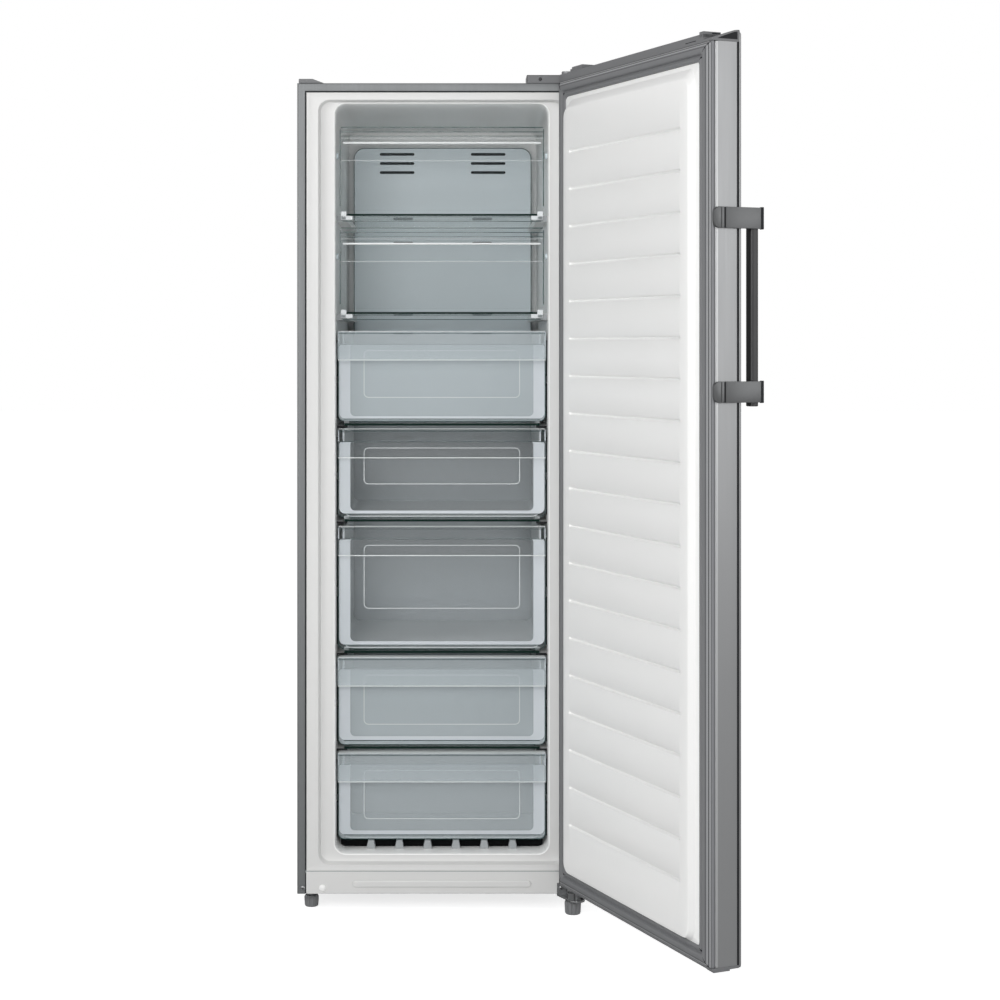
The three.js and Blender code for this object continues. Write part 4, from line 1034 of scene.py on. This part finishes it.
# %% Drawer boxes
BOX, WALL, BOX_FRONT, FOOT_RADIUS = 205.0, 2.0, 60.4, 16
RUNNER_DROPS = [4.5, 4.5, 4.5, 4.5, 0.2]
for n, ((low, high), drop) in enumerate(zip(DRAWERS, RUNNER_DROPS), 1):
    body = "drawer_%d" % n
    back = (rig.box("drawer_box_%d" % n)[1] - origin).y * 1000
    floor_z, rim_z = low + 1, high - 3
    turn = (-BOX + FOOT_RADIUS, floor_z + FOOT_RADIUS)
    section = [(-BOX, rim_z)] + arc_points(*turn, FOOT_RADIUS, math.pi) \
        + arc_points(*turn, FOOT_RADIUS - WALL, math.pi)[::-1] + [(-BOX + WALL, rim_z)]
    walls = [slab([(side * x, z) for x, z in section], (BOX_FRONT, back - 14), "xz") for side in (-1, 1)]
    walls += both_sides((195, BOX), (78, back - 12), (low - drop, low + 1.2))
    walls += both_sides((BOX - 2.4, BOX + 4), (BOX_FRONT, back - 3), (rim_z - 1.6, rim_z))
    # The walls' near-solid white partly paints the sheen seen along them.
    clear_piece(body, "walls", walls, milky_wall, ["drawer_box_%d" % n])
    rear = [inset_ring(BOX - 1, (floor_z + 0.4, rim_z - 0.4), 0, [15, 15, 4, 4], y) for y in (back - WALL, back)]
    clear_piece(body, "back", [loft(rear)], milky_back)
    base = bar_across(BOX - FOOT_RADIUS, (BOX_FRONT, back - WALL), floor_z, WALL)
    # The floor's whiter finish paints the light that falls on it.
    clear_piece(body, "base", [base], milky_floor)
print("drawers:", [(round(a), round(b)) for a, b in DRAWERS])

# %% [markdown]
# The front plate ends a little below the drawer's top, with a dark line round its edge and a rounded rectangle
# embossed on it, whose edge is drawn as a line of painted highlight. In front of it hangs the grip strip, joined to
# the plate by a flange over the top. The strip's edges catch the light, and a milky frame runs down both sides and
# along the foot.

# %% Drawer fronts
FRONT, GRIP, PLATE_DROP, FRAME = 216.5, 60.0, 27.0, 25.5
FOOT_BAND = [(5.6, 10.5), (8, 14), (9, 16), (10, 18), (10, 18)]
EMBOSS_FOOT = [49, 69, 84, 42, 42]
# The grip strips follow the plates: hazier on the lighter drawers, as painted light.
GRIP_HAZE_AND_LIGHT = [haze_and_light[4], clear_front, clear_front, haze_and_light[4], haze_and_light[4]]
drawer_rows = zip(DRAWERS, FOOT_BAND, EMBOSS_FOOT, haze_and_light, GRIP_HAZE_AND_LIGHT)
for n, ((low, high), (foot_low, foot_high), emboss_foot, plate_haze_and_light, grip_haze_and_light) in enumerate(drawer_rows, 1):
    body = "drawer_%d" % n
    plate_z = (low, high - PLATE_DROP)
    plate = soft_plate(FRONT, plate_z, [13, 13, 6, 6], PLATE_Y, 0.7)
    clear_piece(body, "front", [plate], plate_haze_and_light, ["drawer_front_%d" % n])
    flange = loft([inset_ring(FRONT, (high - 3, high), 0, 0.8, y) for y in (38, 60)])
    strip = soft_plate(FRONT, (high - GRIP, high), [3, 3, 4, 4], (37, 40), 0.7)
    clear_piece(body, "grip", [flange, strip], grip_haze_and_light)
    # The emboss is drawn as a loop of painted highlight.
    emboss = [inset_ring(163, (low + emboss_foot, high - 40), i, 10 - i, y)
              for i, y in ((0, 56.9), (0, 56.5), (1.6, 56.5), (1.6, 56.9))]
    clear_piece(body, "emboss", [loft(emboss, loop=True)], emboss_highlight)
    milky = [rounded_ring((-FRONT + a, FRONT - a), (low + foot, plate_z[1] - 1.6), [r, r, 4, 4], y)
             for a, foot, r, y in ((2.4, foot_low, 12, 56.6), (2.4, foot_low, 12, 56.9),
                                   (FRAME, foot_high, 10, 56.9), (FRAME, foot_high, 10, 56.6))]
    ends = [end for x in ((204, 206), (213.5, 215.5)) for end in both_sides(x, (40.4, 57), (high - 26, high - 3.2))]
    clear_piece(body, "frame", [loft(milky, loop=True)] + ends, milky_frame, smooth=30)
    outline = [inset_ring(FRONT, plate_z, i, [13 - i, 13 - i, 6 - i, 6 - i], y)
               for i, y in ((0.1, 57), (0.1, 56.4), (1.3, 56.4), (1.3, 57))]
    dark = [loft(outline, loop=True), bar_across(FRONT - 2, (36.4, 37), high - 5.4, 1.1),
            bar_across(FRONT - 12, (56.3, 56.9), low + foot_low - 1.6, 1.2)]
    clear_piece(body, "outline", dark, clear_rim)
    glints = [bar_across(FRONT - 1, (36.4, 40.6), high - GRIP - 1, 1.7),
              bar_across(FRONT - 2, (36.6, 60), high - 0.9, 1.1)]
    clear_piece(body, "glints", glints, clear_glint, bevel=0.3)
report("drawer fronts")

# %% [markdown]
# ## What stays as packed
#
# The duct cover, the evaporator, the fan and the machinery have their true shapes in the imported model, so they
# keep their meshes and only get their finishes. A dark board behind the duct cover's slots paints the shade inside
# the duct, a black skin in each slot paints its shadow, and a fine dark gap runs round the cover.

# %% Finishes for the imported pieces
pump_black = finish("pump_black", "#141415", 0.35, 0.2, 0.05, 200, 0.08)
fin_aluminium = finish("fin_aluminium", "#c4c6c8", 0.35, 0.9, 0.04, 200, 0.03)
tube_copper = finish("tube_copper", "#b06a40", 0.32, 1.0, 0.06, 200, 0.03)
foam_cream = finish("foam_cream", "#dccf9f", 0.9, 0.0, 0.08, 300, 0.4)
zinc = finish("zinc_sheet", "#a2a4a6", 0.4, 0.85, 0.06, 40, 0.03, 0.1, blotch=30)
KEPT = {
    "rear_panel base_plate compartment_cover roller_bracket_left roller_bracket_right": zinc,
    "insulation_foam door_foam": foam_cream, "evaporator_cover": duct_plastic, "evaporator": fin_aluminium,
    "fan_shroud drip_pan cable_gland": black_plastic, "fan_rotor hinge_bush_top hinge_bush_bottom": lining,
    "compressor": pump_black, "condenser": tube_copper, "roller_left roller_right": foot_rubber,
}
kept = [(node, material) for names, material in KEPT.items() for node in names.split()]
for node, material in kept:
    slots = frame["nodes"][node].data.materials
    slots.clear()
    slots.append(material)
cover_low, cover_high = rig.box("evaporator_cover")
cover_front = (cover_low - origin).y * 1000
cover_z = heights((cover_low, cover_high))
VENT = 3.2
vents = [(x, cover_z[1] - down, 40) for down in (13, 34, 55) for x in (-105, 105)]
(_, shelf_1), (_, shelf_2), arch = shelf_z[0], shelf_z[1], DRAWERS[1][1] - 19
small = [shelf_1 + 17, shelf_1 - 39, shelf_2 + 2, shelf_2 - 44, arch - 19, arch - 67]
vents += [(x, z, 23) for z in small for x in (-91, 91)]
# Black skins paint the shadow in each of the cover's slots.
shadows = [loft([rounded_ring((x - half + i, x + half - i), (z - VENT + i, z + VENT - i), VENT - i, y)
                 for i, y in ((0, cover_front + 0.6), (0, cover_front - 0.1), (0.4, cover_front - 0.2))])
           for x, z, half in vents]
piece("vent_shadows", shadows, "cabinet", shade_black, "black_plastic")
# A dark board paints the shade inside the duct behind the slots.
board = block((-199, 199), (cover_front + 2.7, cover_front + 3.6), (cover_z[0] + 4, cover_z[1] - 6))
piece("duct_shade_board", [board], "cabinet", black_plastic, "black_plastic")
gap_rings = [inset_ring(203, cover_z, -out, [2, 2, 23 + out, 23 + out], cover_front + y)
             for out, y in ((0, 0.2), (0, -0.1), (1.6, 1), (1.6, 3), (0, 3))]
piece("duct_gap", [loft(gap_rings, loop=True)], "cabinet", clear_rim, "white_plastic")
print(len(kept), "packed pieces finished,", len(made), "pieces made")

# %% [markdown]
# ## Floor and end
#
# The floor is a plain pale sheet. It takes the freezer's shadow, and glows just enough towards the camera to
# read as white paper.

# %% Floor
REACH, FLOOR_GLOW = 30, 0.74
floor_mesh = bpy.data.meshes.new("floor")
floor_mesh.from_pydata([(-REACH, -REACH, 0), (REACH, -REACH, 0), (REACH, REACH, 0), (-REACH, REACH, 0)], [],
                       [(0, 1, 2, 3)])
floor = bpy.data.objects.new("floor", floor_mesh)
bpy.context.collection.objects.link(floor)
paper, floor_tree, shader = new_material("paper")
set_inputs(shader, {"Base Color": (0.8, 0.8, 0.8, 1), "Roughness": 0.9, "Specular IOR Level": 0.0,
                    "Emission Color": WHITE})
look = add_node(floor_tree, "LightPath")
glow = add_node(floor_tree, "Math", {1: FLOOR_GLOW})
glow.operation = "MULTIPLY"
wire(floor_tree, (look, "Is Camera Ray", glow, 0), (glow, 0, shader, "Emission Strength"))
floor_mesh.materials.append(paper)
print("floor glow towards the camera:", FLOOR_GLOW)
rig.stage(floor)

# %% [markdown]
# Last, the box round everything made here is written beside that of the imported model, which it must not pass.

# %% Sizes and finish
json.dump({"cad": [list(v) for v in cad_box], "visual": [list(v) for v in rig.bounds()]},
          open("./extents.json", "w"))
print(open("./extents.json").read())
